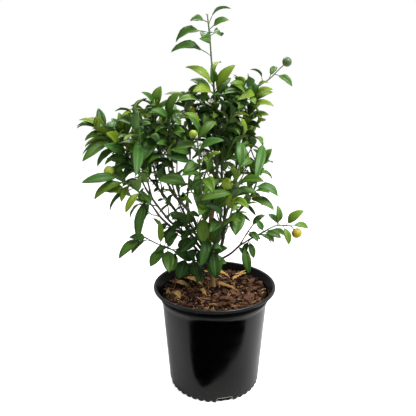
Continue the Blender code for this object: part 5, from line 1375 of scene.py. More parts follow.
def groundAt(x, y):
    # Height of the soil at a place: a broad swell with crumbs on it
    s = soilShape
    broad = noise.noise(Vector((x * mm * s["bumpScale"], y * mm * s["bumpScale"], 3.7)))
    crumbs = noise.fractal(Vector((x * mm, y * mm, 0.9)) * s["fineScale"], 0.8, 2.0, 4)
    return s["level"] + s["bump"] * broad + s["fine"] * crumbs + rimRise(x, y)


def makeSoil():
    s, p = soilShape, potShape
    foot = p["footRadius"] - p["wall"] + potSlope * p["floor"] - s["wallGap"]
    edge = p["bodyRadius"] - 0.6 - s["wallGap"]
    profile = [(0, p["floor"] + gap), (foot, p["floor"] + gap),
               (p["bodyRadius"] - p["wall"] - s["wallGap"], p["bodyTop"] - 4.0), (edge, s["level"] - 2.5)]
    profile += [(edge * k / s["rings"], s["level"]) for k in range(s["rings"] - 1, -1, -1)]
    bm = bmesh.new()
    spin(bm, profile, s["steps"])
    for v in bm.verts:
        if v.co.z > (s["level"] - 0.5) * mm:
            x, y = v.co.x / mm, v.co.y / mm
            wider = 1.0 + s["riseOut"] * rimRise(x, y) / s["rise"]
            v.co = Vector((x * wider, y * wider, groundAt(x, y))) * mm
    makePiece("pottingSoil", bm, ["soil"], "soil", ["soil"], 50.0)


# Number, length, width and thickness as shares of it, tilt in radians, and the range of tints
mulchMix = {"chunk": (600, (3.0, 11.0), (0.45, 0.9), (0.25, 0.5), 0.28, (0.0, 0.64)),
            "flake": (64, (10.0, 22.0), (0.40, 0.65), (0.05, 0.1), 0.34, (0.46, 0.64)),
            "sliver": (330, (8.0, 24.0), (0.09, 0.2), (0.06, 0.12), 0.12, (0.1, 0.88)),
            "crumb": (34, (4.0, 10.0), (0.5, 0.9), (0.2, 0.4), 0.4, (0.66, 0.92)),
            "fibre": (200, (8.0, 26.0), (0.05, 0.09), (0.03, 0.05), 0.16, (0.76, 1.0))}
# Crumbs and flakes gather about a middle (x and y) within a reach
mulchPlace = dict(spread=118.5, stemClear=9.0, crumb=(-96.0, -14.0, 9.0), flake=(64.0, -44.0, 34.0),
                  gathered=0.75, deeper=1.3, overEdge=3.0, pullIn=0.86)
mulchShape = dict(thinnest=0.6, lift=(0.15, 0.45), tiltLift=0.3, roll=0.2, bend=0.12, rough=0.42,
                  roughScale=2.3, narrow=0.2, narrowThin=0.55, tintVary=0.04)


def onLitter(x, y):
    # Whether a strip, a dry leaf or a bark chip lies there
    for (cx, cy), length, width, turn, kind in litterTable.values():
        there = Matrix.Rotation(-math.radians(turn), 2) @ Vector((x - cx, y - cy))
        if abs(there.x) < length / 2.0 and abs(there.y) < width / 2.0:
            return True
    return False


def mulchSpot(kind, dice):
    # A place on the soil, off the stem; only crumbs and fibres may lie on the litter
    m = mulchPlace
    while True:
        away = m["spread"] * math.sqrt(dice.random())
        around = dice.uniform(0, math.tau)
        x, y = away * math.cos(around), away * math.sin(around)
        if kind in m and dice.random() < m["gathered"]:
            x, y = dice.gauss(m[kind][0], m[kind][2]), dice.gauss(m[kind][1], m[kind][2] * m["deeper"])
        if (Vector((x, y)) - Vector(trunkShape["spot"])).length > m["stemClear"]:
            if math.hypot(x, y) < m["spread"] and (kind in ("crumb", "fibre") or not onLitter(x, y)):
                return x, y


def makeMulch():
    # Chunks and flakes of bark, slivers, crumbs and straw-coloured fibres, each a roughened block
    dice = random.Random(seed + 5)
    m, look = mulchPlace, mulchShape
    blank = bmesh.new()
    bmesh.ops.create_cube(blank, size=1.0)
    bmesh.ops.subdivide_edges(blank, edges=blank.edges[:], cuts=1, use_grid_fill=True)
    block = bpy.data.meshes.new("block")
    blank.to_mesh(block)
    blank.free()
    bm = bmesh.new()
    tint = bm.verts.layers.float.new("tint")
    kinds = [kind for kind, row in mulchMix.items() for k in range(row[0])]
    for number, kind in enumerate(kinds):
        lengths, widths, depths, steep, shades = mulchMix[kind][1:]
        x, y = mulchSpot(kind, dice)
        long = dice.uniform(*lengths)
        size = (long, long * dice.uniform(*widths), max(long * dice.uniform(*depths), look["thinnest"]))
        shade = dice.uniform(*shades)
        tilt = dice.gauss(0.0, steep)
        lift = size[2] * dice.uniform(*look["lift"]) + abs(math.sin(tilt)) * long * look["tiltLift"]
        turn = Matrix.Rotation(dice.uniform(0, math.tau), 4, "Z") @ Matrix.Rotation(tilt, 4, "Y")
        turn = turn @ Matrix.Rotation(dice.gauss(0.0, look["roll"]), 4, "X")
        middle = Vector((x, y, groundAt(x, y) + lift))
        ahead = turn @ Vector((size[0], 0, 0))
        if math.hypot(x, y) + 0.5 * max(abs(ahead.x), abs(ahead.y)) > m["spread"] + m["overEdge"]:
            middle.x *= m["pullIn"]
            middle.y *= m["pullIn"]
        start = len(bm.verts)
        bm.from_mesh(block)
        bm.verts.ensure_lookup_table()
        bend = dice.uniform(-look["bend"], look["bend"]) * long
        thinner = look["narrowThin" if kind in ("sliver", "fibre") else "narrow"]
        for v in bm.verts[start:]:
            shift = Vector((number * 3.1, 0, 0))
            rough = 1.0 + look["rough"] * noise.noise(v.co * look["roughScale"] + shift)
            narrow = 1.0 - thinner * (2.0 * abs(v.co.x)) ** 2
            spot = Vector((v.co.x * size[0], v.co.y * size[1] * narrow * rough, v.co.z * size[2] * rough))
            spot.y += bend * (1.0 - 4.0 * v.co.x ** 2)
            v.co = (middle + turn @ spot) * mm
            v[tint] = min(max(shade + dice.uniform(-look["tintVary"], look["tintVary"]), 0.0), 1.0)
    makePiece("barkMulch", bm, ["mulch"], "bark", [], 45.0)
    bpy.data.meshes.remove(block)


litterLook = {
    "strip": dict(finish="woodStrip", rows=30, across=6, thick=2.2, curl=3.5, twist=0.9, ragged=0.5, bow=2.2,
                  wide=0.78, swell=0.3, crinkle=1.3, ends=0.05),
    "leaf": dict(finish="dryLeaf", rows=18, across=8, thick=0.5, curl=6.5, cup=0.9, crumple=2.4, ends=0.0),
    "bark": dict(finish="barkChip", rows=16, across=8, thick=2.6, curl=2.2, ragged=0.34, wide=0.9,
                 taper=0.22, crumple=1.6, ends=0.05)}


def flatGrid(across, rows):
    # A grid with its UV, that a piece of litter is bent from
    bm = bmesh.new()
    bm.loops.layers.uv.new("UVMap")
    bmesh.ops.create_grid(bm, x_segments=across, y_segments=rows, size=1.0, calc_uvs=True)
    return bm


def litterForm(kind, look, width, across, along, shift):
    # How wide and how high a piece of litter is at a point of its grid, -1 to 1 each way
    share = (along + 1.0) / 2.0
    lift = look["curl"] * (1.0 - along * along)
    if kind == "leaf":
        wide = math.sin(math.pi * min(max(share, 0.02), 0.985) ** 0.9) ** 0.8
        lift += look["cup"] * width * 0.25 * abs(across) ** 1.5
        return wide, lift + look["crumple"] * noise.noise(shift * 1.7)
    if kind == "strip":
        wide = look["wide"] + look["swell"] * math.sin(math.pi * share)
        wide += look["ragged"] * noise.noise(shift * 2.6)
        wide *= min(1.0, 6.0 * (1.0 - abs(along)) + 0.35)
        lift += look["twist"] * across * along * width * 0.4
        return wide, lift + look["crinkle"] * noise.noise(shift * 3.1)
    wide = look["wide"] - look["taper"] * along ** 4 + look["ragged"] * noise.noise(shift * 2.1)
    return wide, lift + look["crumple"] * noise.noise(shift * 2.9)


def makeLitter():
    for number, (name, ((x, y), length, width, turn, kind)) in enumerate(litterTable.items()):
        look = litterLook[kind]
        bm = flatGrid(look["across"], look["rows"])
        for v in bm.verts:
            across, along = v.co.x, v.co.y
            shift = Vector((number * 7.3, along * 2.2, across))
            wide, lift = litterForm(kind, look, width, across, along, shift)
            ends = 1.0 + look["ends"] * noise.noise(Vector((across * 3.0, number, along)))
            bow = look.get("bow", 0.0) * math.sin(2.4 * along + number)
            v.co = Vector((along * length / 2.0 * ends, bow - across * width / 2.0 * wide, lift))
        # A closed wall for the thickness
        bmesh.ops.recalc_face_normals(bm, faces=bm.faces)
        if sum(f.normal.z for f in bm.faces) < 0:
            bmesh.ops.reverse_faces(bm, faces=bm.faces)
        bmesh.ops.solidify(bm, geom=bm.faces[:], thickness=look["thick"])
        lowest = min(v.co.z for v in bm.verts)
        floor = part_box(name)[0][2] / mm
        place = Matrix.Translation((x, y, floor - lowest)) @ Matrix.Rotation(math.radians(turn), 4, "Z")
        bmesh.ops.transform(bm, matrix=Matrix.Scale(mm, 4) @ place, verts=bm.verts)
        for v in bm.verts:
            v.co.z += rimRise(v.co.x / mm, v.co.y / mm) * mm
        bmesh.ops.recalc_face_normals(bm, faces=bm.faces)
        makePiece(name.replace("_", "") + "Detail", bm, [look["finish"]], kind, [name], 50.0)


stemLook = dict(step=7.0, knot=0.16, knotReach=2.2, ripple=0.05, wood=1.27)


def stemSkin(bm, route, radii, sides, ages, knots=(), flare=(0.0, 1.0), finish=0):
    # A grid is bent round the route, its seam is merged and its ends are closed
    age = bm.verts.layers.float.get("age") or bm.verts.layers.float.new("age")
    rings = []
    total = lengthOf(route)
    for point, side, other, gone in framesAlong(route):
        share = gone / total
        radius = radii[0] + (radii[1] - radii[0]) * share + flare[0] * math.exp(-gone / flare[1])
        for knot in knots:
            radius *= 1.0 + stemLook["knot"] * math.exp(-((gone - knot) / stemLook["knotReach"]) ** 2)
        rings.append((point, side, other, radius, ages[0] + (ages[1] - ages[0]) * share))
    steps = len(route) - 1
    bm.loops.layers.uv.verify()
    skin = bmesh.ops.create_grid(bm, x_segments=sides, y_segments=steps, size=1.0, calc_uvs=True)["verts"]
    for v in skin:
        n, k = round((v.co.x + 1.0) / 2.0 * sides), round((v.co.y + 1.0) / 2.0 * steps)
        point, side, other, radius, years = rings[k]
        turn = math.tau * (n % sides) / sides
        radius *= 1.0 + stemLook["ripple"] * noise.noise(Vector((math.cos(turn), math.sin(turn), k * 0.45)))
        v.co = (point + (side * math.cos(turn) + other * math.sin(turn)) * radius) * mm
        v[age] = years
    faces = list({f for v in skin for f in v.link_faces})
    bmesh.ops.remove_doubles(bm, verts=skin, dist=0.000002)
    rim = {e for f in faces for e in f.edges if e.is_boundary}
    faces += bmesh.ops.holes_fill(bm, edges=list(rim), sides=0)["faces"]
    bmesh.ops.recalc_face_normals(bm, faces=faces)
    for f in faces:
        f.material_index = finish


woodAge = dict(soil=1.0, fork=0.75, limb=0.58, leader=0.92, cut=0.35, tip=0.05)
twiglets = dict(barest=60, first=60.0, firstVary=15, spacing=(26, 48), length=(22, 48), radius=(1.5, 1.1),
                bend=4.0, along=(0.5, 1.1), lift=0.35, tipLift=0.25, ages=(0.42, 0.3), leafy="left",
                leafAt=(0.7, 0.97), leafLength=(16.0, 28.0), leafWidth=(0.3, 0.45), leafAhead=0.6,
                leafFace=(0.5, 1.0), leafTone=(0.1, 0.6), leafCool=(0.2, 1.0))


def twigletLeaf(route, share, dice):
    # A small narrow leaf at a share of the twig's length
    t = twiglets
    root, way = pointAt(route, lengthOf(route) * share)
    side = Vector((dice.uniform(-1, 1), dice.uniform(-0.5, 0.2), dice.uniform(-1, 0.6)))
    long = dice.uniform(*t["leafLength"])
    return dict(base=root, tip=root + (way * t["leafAhead"] + side).normalized() * long,
                width=long * dice.uniform(*t["leafWidth"]), up=seenUp(dice.uniform(*t["leafFace"])),
                arch=0.1, fold=0.4, stalk=False, tone=dice.uniform(*t["leafTone"]),
                cool=dice.uniform(*t["leafCool"]))


def makeTwiglets(limbs, leaves, blank):
    # Thin twigs that stand out from the bare limbs, with small leaves on the left
    dice = random.Random(seed + 7)
    t = twiglets
    routes, leaves = [], list(leaves)
    for name, limb in limbs.items():
        if name in stalkedLimbs or limb["bare"] < t["barest"]:
            continue
        distance = t["first"] + dice.uniform(0, t["firstVary"])
        while distance < limb["bare"]:
            base, along = pointAt(limb["route"], distance)
            ray = Matrix.Rotation(dice.uniform(0, math.tau), 3, along) @ along.orthogonal().normalized()
            reach = dice.uniform(*t["length"])
            aim = (along * dice.uniform(*t["along"]) + ray + Vector((0, 0, t["lift"]))).normalized()
            shake = [Vector([dice.uniform(-1, 1) for axis in "xyz"]) * t["bend"] for k in range(2)]
            tip = base + (aim + Vector((0, 0, t["tipLift"]))) * reach
            route = smoothRoute([base, base + aim * reach * 0.4 + shake[0] * 0.5,
                                 base + aim * reach * 0.75 + shake[1] * 0.6, tip], 6.0)
            if inCrown(route[-1]):
                routes.append(route)
                if name.startswith(t["leafy"]):
                    leaves += [twigletLeaf(route, share, dice) for share in t["leafAt"]]
            distance += dice.uniform(*t["spacing"])
    bm = layLeaves(leaves, blank, dice)
    for route in routes:
        stemSkin(bm, route, t["radius"], 6, t["ages"])
    makePiece("dryTwigs", bm, ["twig", "leaf"], "spray", [], 0)


def makeTrunk(limbs):
    # The stem with its root flare, and the bare wood of every limb
    t = trunkShape
    bm = bmesh.new()
    bm.loops.layers.uv.new("UVMap")
    level = soilShape["level"]
    below = [Vector(p) for p in t["route"][:2]]
    below += [Vector((*t["spot"], level - under)) for under in (8.0, 3.0, 0.0)]
    above = smoothRoute(t["route"][2:], t["step"])
    ages = (woodAge["soil"], woodAge["fork"])
    stemSkin(bm, below + above, (t["radius"], t["forkRadius"]), t["sides"], ages)
    for v in bm.verts:
        # Ribbed where the roots leave
        high = v.co.z / mm - level
        if -6.0 < high < 40.0:
            out = v.co - Vector((*t["spot"], 0.0)) * mm
            out.z = 0.0
            grow = t["rootFlare"] * math.exp(-max(high, 0.0) / t["flareHeight"])
            grow *= 0.75 + 0.25 * math.sin(4 * math.atan2(out.y, out.x) + 1.0)
            v.co += out.normalized() * grow * mm
    for name, limb in limbs.items():
        if limb["wood"]:
            fine = smoothRoute(limb["wood"], stemLook["step"])
            thick = limb["radii"][0] * stemLook["wood"]
            years = woodAge.get(name, woodAge["limb"] if thick > 2.6 else woodAge["limb"] * 0.8)
            cut = woodAge["fork" if name == "leader" else "cut"]
            radii = (thick, limb["cut"] * stemLook["wood"])
            knots = range(30, int(lengthOf(fine)), 37)
            stemSkin(bm, fine, radii, 14 if thick > 2.7 else 10, (years, cut), knots, (thick * 0.35, 5.0))
    makePiece("trunkAndLimbs", bm, ["twig"], "trunk", ["trunk"], 80.0)


leafLook = dict(rows=11, across=4, petiole=0.08, longPetiole=0.17,
                stations=(0.05, 0.13, 0.25, 0.39, 0.53, 0.67, 0.81, 0.93, 1.0),
                blade=0.32, petioleHalf=0.8, tipHalf=0.22, wave=0.07, waves=(1.5, 3.0), tipCurl=0.9)


def makeBlank():
    # One leaf laid flat: x is -1 to 1 across, y is its row, z tells the upper skin from the under
    look = leafLook
    bm = bmesh.new()
    bm.loops.layers.uv.new("UVMap")
    bmesh.ops.create_grid(bm, x_segments=look["across"], y_segments=look["rows"], size=1.0, calc_uvs=True)
    under = bm.faces.layers.float.new("under")
    copied = bmesh.ops.duplicate(bm, geom=bm.faces[:])["geom"]
    lower = [f for f in copied if isinstance(f, bmesh.types.BMFace)]
    bmesh.ops.reverse_faces(bm, faces=lower)
    for f in lower:
        f[under] = 1.0
        for v in f.verts:
            v.co.z = -1.0
    for v in bm.verts:
        edge = abs(v.co.x) > 0.999 or abs(v.co.y) > 0.999
        v.co.z = 0.0 if edge else (v.co.z or 1.0)
    bmesh.ops.remove_doubles(bm, verts=bm.verts, dist=0.0001)
    blank = bpy.data.meshes.new("leafBlank")
    bm.to_mesh(blank)
    bm.free()
    return blank


def leafHalf(t):
    # The blade's half width along its length, as a share of the widest
    return max(math.sin(math.pi * min(t, 1.0) ** 0.88), 0.0) ** 0.74


def layLeaf(verts, leaf, dice, toneLayer, coolLayer):
    # The blank is laid along the leaf's own midrib, folded, arched and waved
    look = leafLook
    rib = ribOf(leaf)
    axis, up, side, length = rib
    petiole = leaf.get("petiole", look["longPetiole"] if leaf["stalk"] else look["petiole"])
    tone, cool = toneAndLightOf(leaf, dice), leaf.get("cool", max(dice.gauss(0.2, 0.35), 0.0))
    shares = [0.0, petiole / 2.0, petiole] + [petiole + (1.0 - petiole) * t for t in look["stations"]]
    phase, lean = dice.uniform(0, math.tau), dice.uniform(-0.06, 0.06)
    waves = dice.uniform(*look["waves"])
    for v in verts:
        across, row, skin = v.co.x, round((v.co.y + 1.0) / 2.0 * look["rows"]), v.co.z
        t = max((shares[row] - petiole) / (1.0 - petiole), 0.0)
        half = look["petioleHalf"] if row < 3 else max(leaf["width"] / 2.0 * leafHalf(t), look["tipHalf"])
        fold = leaf["fold"] * min(t * 4.0, 1.0)
        point, lift = onRib(leaf, rib, shares[row])
        point -= up * look["tipCurl"] * max(t - 0.75, 0.0) ** 2 * length * 0.35
        ripple = look["wave"] * half * abs(across) * math.sin(waves * math.tau * t + phase + 1.5 * across)
        thick = look["blade"] * (1.0 - 0.35 * abs(across)) if row > 2 else look["petioleHalf"]
        point += side * (half * across + lean * half) + lift * (half * fold * abs(across) ** 1.15 + ripple)
        v.co = (point + lift * (skin * thick)) * mm
        v[toneLayer] = min(max(tone + 0.05 * t, 0.0), 1.0)
        v[coolLayer] = min(cool, 1.0)


# A leaf's tone by its place paints shade low in the crown and inside it, and light high up and at the outside
leafToneAndLight = dict(low=300.0, high=660.0, lowTone=0.25, highTone=0.5, outer=0.25, outerReach=120.0,
                 middle=-50.0, vary=0.17, seenVary=0.04, youngest=0.35, youngShare=0.16)


def toneAndLightOf(leaf, dice):
    # Painted shade makes leaves darker low down and inside, and painted light makes them brighter high up and
    # at the outside, with a few young ones
    look = leafToneAndLight
    if "tone" in leaf:
        return leaf["tone"] + dice.gauss(0.0, look["seenVary"])
    spot = leaf["base"].lerp(leaf["tip"], 0.6)
    height = min(max((spot.z - look["low"]) / (look["high"] - look["low"]), 0.0), 1.2)
    away = min(math.hypot(spot.x - look["middle"], spot.y) / look["outerReach"], 1.3)
    tone = look["lowTone"] + (look["highTone"] - look["lowTone"]) * height + look["outer"] * (away - 0.6)
    tone += dice.gauss(0.0, look["vary"])
    return tone + (look["youngest"] if dice.random() < look["youngShare"] else 0.0)


def layLeaves(leaves, blank, dice):
    # A bmesh that holds all of a piece's leaves, before its stems
    bm = bmesh.new()
    for leaf in leaves:
        bm.from_mesh(blank)
    bm.loops.layers.uv.verify()
    bm.verts.layers.float.new("age")
    tone = bm.verts.layers.float.new("tone")
    cool = bm.verts.layers.float.new("cool")
    bm.verts.ensure_lookup_table()
    per = len(blank.vertices)
    for number, leaf in enumerate(leaves):
        layLeaf(bm.verts[number * per:(number + 1) * per], leaf, dice, tone, cool)
    for f in bm.faces:
        f.material_index = 1
    return bm


sprayLook = dict(sides=10, rootAge=0.25, sunk=1.2, shootSides=8, shootAges=(0.18, 0.0),
                 shootFlare=(0.5, 3.0), stalkAges=(0.2, 0.1), stalkThins=0.85)


def makeSpray(name, limb, shoots, leaves, stalks, blank, dice):
    # The leafy end of one limb: leaves, stem, side shoots and fruit stalks
    look = sprayLook
    bm = layLeaves(leaves, blank, dice)
    coarse = limb["leafy"]
    if limb["bare"]:
        coarse = [coarse[0] - (coarse[1] - coarse[0]).normalized() * look["sunk"]] + coarse[1:]
    fine = smoothRoute(coarse, stemLook["step"])
    knots = []
    for leaf in leaves:
        near = min(range(len(fine)), key=lambda k: (fine[k] - leaf["base"]).length)
        knots.append(lengthOf(fine[:near + 1]) if near else 0.0)
    ages = (woodAge["cut"] if limb["bare"] else look["rootAge"], woodAge["tip"])
    stemSkin(bm, fine, (limb["cut"], limb["radii"][1]), look["sides"], ages, knots)
    for route in shoots:
        stemSkin(bm, smoothRoute(route, stemLook["step"]), shootRule["radius"], look["shootSides"],
                 look["shootAges"], flare=look["shootFlare"])
    for start, end in stalks:
        stemSkin(bm, smoothRoute([start, start.lerp(end, 0.5), end], 3.0),
                 (stalkRadius, stalkRadius * look["stalkThins"]), look["shootSides"], look["stalkAges"])
    makePiece(pieceName("spray_" + name), bm, ["twig", "leaf"], "spray", ["spray_" + name], 0)


fruitLook = dict(around=40, rings=26, flatten=1.06, dimple=0.09, dimpleWide=0.28, navel=0.03, navelWide=0.16,
                 furrow=0.012, furrows=9, calyxTeeth=5, calyxWide=0.26, calyxTooth=0.32, calyxAge=0.1)


def makeFruits(limbs):
    look = fruitLook
    for name, (limb, distance, centre, diameter, colour) in fruitTable.items():
        aim = fruitStalk(limbs, limb, distance, centre, diameter)[2]
        turn = aim.to_track_quat("Z", "Y").to_matrix()       # -Z looks back at the stalk
        bm = bmesh.new()
        near = bm.verts.layers.float.new("nearStalk")
        age = bm.verts.layers.float.new("age")
        bmesh.ops.create_uvsphere(bm, u_segments=look["around"], v_segments=look["rings"], radius=1.0)
        for v in bm.verts:
            polar = v.co.copy()
            around = math.atan2(polar.y, polar.x)
            flat = math.hypot(polar.x, polar.y)
            reach = 1.0 + look["furrow"] * math.sin(look["furrows"] * around) * flat * (0.5 - 0.5 * polar.z)
            spot = Vector((polar.x * look["flatten"], polar.y * look["flatten"], polar.z)) * reach
            spot.z += look["dimple"] * math.exp(-(flat / look["dimpleWide"]) ** 2) if polar.z < 0 else 0.0
            spot.z -= look["navel"] * math.exp(-(flat / look["navelWide"]) ** 2) if polar.z > 0 else 0.0
            v.co = (Vector(centre) + turn @ (spot * diameter / 2.0)) * mm
            v[near] = min(max(0.5 - polar.z * 0.8, 0.0), 1.0)
        # The green star that holds the stalk
        star = bmesh.ops.create_cone(bm, cap_ends=True, cap_tris=True, segments=look["calyxTeeth"] * 4,
                                     radius1=1.0, radius2=0.42, depth=0.5)["verts"]
        for v in star:
            around = math.atan2(v.co.y, v.co.x)
            wide = look["calyxWide"] * (1.0 + look["calyxTooth"] * math.cos(look["calyxTeeth"] * around))
            flat = math.hypot(v.co.x, v.co.y)
            low = -1.0 + look["dimple"] * 0.55 - (0.075 if v.co.z > 0 else -0.02)
            spot = Vector((v.co.x * wide, v.co.y * wide, low + 0.05 * flat * flat))
            v.co = (Vector(centre) + turn @ (spot * diameter / 2.0)) * mm
            v[age] = look["calyxAge"]
            for f in v.link_faces:
                f.material_index = 1
        bmesh.ops.recalc_face_normals(bm, faces=bm.faces)
        makePiece(pieceName(name), bm, [colour, "twig"], colour, [name], 50.0)


budLook = dict(diameter=5.2, long=1.02, petals=5, around=30, rings=18, seam=0.09, narrower=0.14,
               warm=0.7, warmLoss=0.6, cupSides=20, cupRadius=1.75, cupLong=1.3, cupLow=-2.3,
               cupTooth=0.25, cupAge=0.05)


def makeBud(limbs):
    # A bud just before it opens: five petals folded together over a green cup
    look = budLook
    tip, along = pointAt(limbs["top_shoot"]["route"], limbs["top_shoot"]["total"])
    centre = tip + along * (look["diameter"] / 2.0 + gap)
    turn = along.to_track_quat("Z", "Y").to_matrix()
    bm = bmesh.new()
    bm.loops.layers.uv.new("UVMap")
    warm = bm.verts.layers.float.new("warm")
    age = bm.verts.layers.float.new("age")
    bmesh.ops.create_uvsphere(bm, u_segments=look["around"], v_segments=look["rings"], radius=1.0,
                              calc_uvs=True)
    for v in bm.verts:
        around = math.atan2(v.co.y, v.co.x)
        seam = abs(math.cos(0.5 * look["petals"] * around)) ** 8 * (1.0 - v.co.z ** 2)
        wide = (1.0 - look["seam"] * seam) * (1.0 - look["narrower"] * v.co.z)
        v[warm] = min(max(look["warm"] - look["warmLoss"] * v.co.z, 0.0), 1.0)
        spot = Vector((v.co.x * wide, v.co.y * wide, v.co.z * look["long"])) * (look["diameter"] / 2.0)
        v.co = (centre + turn @ spot) * mm
    cup = bmesh.ops.create_cone(bm, cap_ends=True, cap_tris=True, segments=look["cupSides"], radius1=0.45,
                                radius2=1.0, depth=1.0)["verts"]
    for v in cup:
        around = math.atan2(v.co.y, v.co.x)
        tooth = look["cupTooth"] * math.cos(look["petals"] * around) if v.co.z > 0 else 0.0
        spot = Vector((v.co.x * look["cupRadius"], v.co.y * look["cupRadius"],
                       look["cupLow"] + v.co.z * look["cupLong"] + tooth))
        v.co = (centre + turn @ spot) * mm
        v[age] = look["cupAge"]
        for f in v.link_faces:
            f.material_index = 1
    bmesh.ops.recalc_face_normals(bm, faces=bm.faces)
    makePiece("flowerBud", bm, ["petal", "twig"], "bud", ["flower_bud"], 60.0)


def nearestStem(limbs, shoots, spot):
    # The point of any stem that is nearest, looked for every 3 mm
    best = None
    for name, limb in limbs.items():
        for route in [limb["route"]] + shoots[name]:
            for distance in range(0, int(lengthOf(route)), 3):
                point = pointAt(route, distance)[0]
                if best is None or (point - spot).length < (best - spot).length:
                    best = point
    return best


blossomLook = dict(places=((-27, -100, 566), (-24.5, -100, 548.5), (-9.5, -10, 649.4)), buds=4, apart=3.2,
                   stalk=0.55, stalkAges=(0.1, 0.0), budHalf=1.5, budLong=2.4, budUp=1.6, petals=5,
                   petal=4.6, petalHalf=1.15, petalUp=0.4, petalCurl=1.5, petalThick=0.25, warm=0.25)


def openFlower(bm, warm, end, turn):
    # Pointed petals, curled back
    look = blossomLook
    for petal in range(look["petals"]):
        made = bmesh.ops.create_grid(bm, x_segments=2, y_segments=4, size=1.0, calc_uvs=True)["verts"]
        around = Matrix.Rotation(math.tau * petal / look["petals"], 3, "Z")
        for v in made:
            share = (v.co.y + 1.0) / 2.0
            wide = look["petalHalf"] * math.sin(math.pi * (0.12 + 0.84 * share)) ** 0.7
            flat = Vector((v.co.x * wide, share * look["petal"],
                           look["petalUp"] + look["petalCurl"] * math.sin(share * 2.2) + 0.3 * v.co.x ** 2))
            v[warm] = look["warm"] * (1.0 - share)
            v.co = (end + turn @ (around @ flat)) * mm
        skin = list({f for v in made for f in v.link_faces})
        bmesh.ops.solidify(bm, geom=skin, thickness=look["petalThick"] * mm)


def makeBlossoms(limbs, shoots):
    # Small clusters of white buds and open stars on thin stalks from the nearest stem
    dice = random.Random(seed + 21)
    look = blossomLook
    bm = bmesh.new()
    bm.loops.layers.uv.new("UVMap")
    warm = bm.verts.layers.float.new("warm")
    bm.verts.layers.float.new("age")
    for place in look["places"]:
        root = nearestStem(limbs, shoots, Vector(place))
        for number in range(look["buds"]):
            lean = Vector((dice.uniform(-1, 1), dice.uniform(-1, 0.2), dice.uniform(-0.3, 1)))
            end = Vector(place) + lean * look["apart"]
            stemSkin(bm, smoothRoute([root, root.lerp(end, 0.5) + Vector((0, 0, 1.0)), end], 3.0),
                     (look["stalk"], look["stalk"] * 0.8), 6, look["stalkAges"], finish=1)
            turn = (end - root).normalized().to_track_quat("Z", "Y").to_matrix()
            if number % 2 == 0:
                openFlower(bm, warm, end, turn)
                continue
            ball = bmesh.ops.create_uvsphere(bm, u_segments=10, v_segments=8, radius=1.0, calc_uvs=True)
            for v in ball["verts"]:
                v[warm] = max(-v.co.z - 0.4, 0.0) * 0.6
                spot = Vector((v.co.x * look["budHalf"], v.co.y * look["budHalf"],
                               look["budUp"] + v.co.z * look["budLong"]))
                v.co = (end + turn @ spot) * mm
    makePiece("blossoms", bm, ["petal", "twig"], "bud", [], 60.0)


limbs, shoots, leaves, stalks = planPlant()
makePot()
makeSoil()
makeMulch()
makeLitter()
print("pot, soil and mulch made")
makeTrunk(limbs)
blank = makeBlank()
looks = random.Random(seed + 2)
for name, limb in limbs.items():
    makeSpray(name, limb, shoots[name], leaves[name], stalks[name], blank, looks)
makeTwiglets(limbs, leaves["twigs"], blank)
bpy.data.meshes.remove(blank)
makeFruits(limbs)
makeBud(limbs)
makeBlossoms(limbs, shoots)
print("plant made")

# Floor, lights and world, in metres and watts
studio = dict(backdrop=1.0, world=0.36, floor=0.62, floorGlow=0.80, floorSize=14.0,
              key=dict(place=(1.1, -0.9, 2.5), size=1.0, power=75.0),
              fill=dict(place=(-1.7, -1.2, 1.3), size=1.6, power=3.0),
              side=dict(place=(0.8, -0.25, 1.0), size=0.7, power=7.0, target=(0.65, -0.22, 0.0)),
              back=dict(place=(-0.4, 1.4, 2.6), size=1.4, power=45.0), target=(0.0, 0.0, 0.4),
              flag=dict(height=0.02, outline=(
                  (-0.036, -0.122), (0.006, -0.156), (0.097, -0.179), (0.217, -0.157), (0.303, -0.165),
                  (1.4, -0.55), (1.4, -1.9), (-1.4, -1.9), (-1.4, -0.85), (-0.264, -0.230),
                  (-0.169, -0.166), (-0.087, -0.131))))


def makeCamera(scene):
    camera = bpy.data.objects.new("camera", bpy.data.cameras.new("camera"))
    camera.location = cameraView["place"]
    camera.rotation_euler = (math.radians(cameraView["pitch"]), 0.0, 0.0)
    camera.data.lens = cameraView["lens"]
    camera.data.sensor_width = cameraView["sensor"]
    camera.data.sensor_fit = "HORIZONTAL"
    scene.collection.objects.link(camera)
    scene.camera = camera


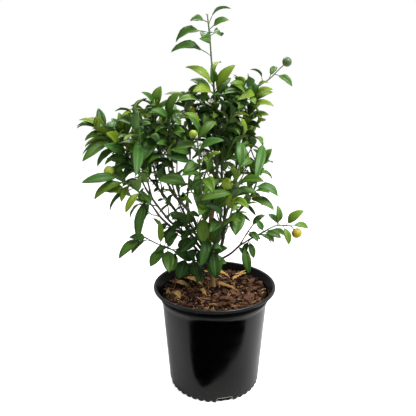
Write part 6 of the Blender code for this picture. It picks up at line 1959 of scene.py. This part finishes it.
def makeFloor():
    # The paper's own glow whitens the background and lights nothing
    bm = bmesh.new()
    bmesh.ops.create_grid(bm, x_segments=1, y_segments=1, size=studio["floorSize"] / 2.0)
    floor = toObject("floor", bm)
    paper, tree, shader = newMaterial("palePaper", {
        "Roughness": 0.9, "Specular IOR Level": 0.2, "Base Color": (*[studio["floor"]] * 3, 1.0),
        "Emission Color": (1.0, 1.0, 1.0, 1.0)})
    seen = put(tree, "ShaderNodeLightPath").outputs["Is Camera Ray"]
    tree.links.new(spread(tree, seen, 0.0, 1.0, 0.0, studio["floorGlow"]), shader.inputs["Emission Strength"])
    floor.data.materials.append(paper)


def makeFlag():
    # A black card before the pot, out of view, that only its gloss picks up
    look = studio["flag"]
    bm = bmesh.new()
    corners = [bm.verts.new((x, y, look["height"])) for x, y in look["outline"]]
    bmesh.ops.contextual_create(bm, geom=corners)
    bmesh.ops.triangulate(bm, faces=bm.faces)
    flag = toObject("flag", bm)
    card = newMaterial("blackCard", {"Base Color": (0.002, 0.002, 0.002, 1.0), "Roughness": 0.9,
                                     "Specular IOR Level": 0.0})[0]
    flag.data.materials.append(card)
    flag.visible_camera = flag.visible_diffuse = flag.visible_shadow = False
    flag.visible_transmission = flag.visible_volume_scatter = False


def makeLights(scene):
    for name in ("key", "fill", "side", "back"):
        look = studio[name]
        data = bpy.data.lights.new(name, "AREA")
        data.shape = "DISK"
        data.size = look["size"]
        data.energy = look["power"]
        lamp = bpy.data.objects.new(name, data)
        scene.collection.objects.link(lamp)
        aim = Vector(look.get("target", studio["target"])) - Vector(look["place"])
        lamp.location = look["place"]
        lamp.rotation_euler = aim.to_track_quat("-Z", "Y").to_euler()


def makeWorld(scene):
    # White where the camera sees it, and dimmer as a light
    world = bpy.data.worlds.new("studio")
    world.use_nodes = True
    tree = world.node_tree
    back = tree.nodes["Background"]
    back.inputs["Color"].default_value = (1.0, 1.0, 1.0, 1.0)
    seen = put(tree, "ShaderNodeLightPath").outputs["Is Camera Ray"]
    tree.links.new(spread(tree, seen, 0.0, 1.0, studio["world"], studio["backdrop"]), back.inputs["Strength"])
    scene.world = world
    scene.view_settings.view_transform = "Standard"
    scene.view_settings.look = "None"


makeCamera(bpy.context.scene)
makeFloor()
makeFlag()
makeLights(bpy.context.scene)
makeWorld(bpy.context.scene)
print("stage set")
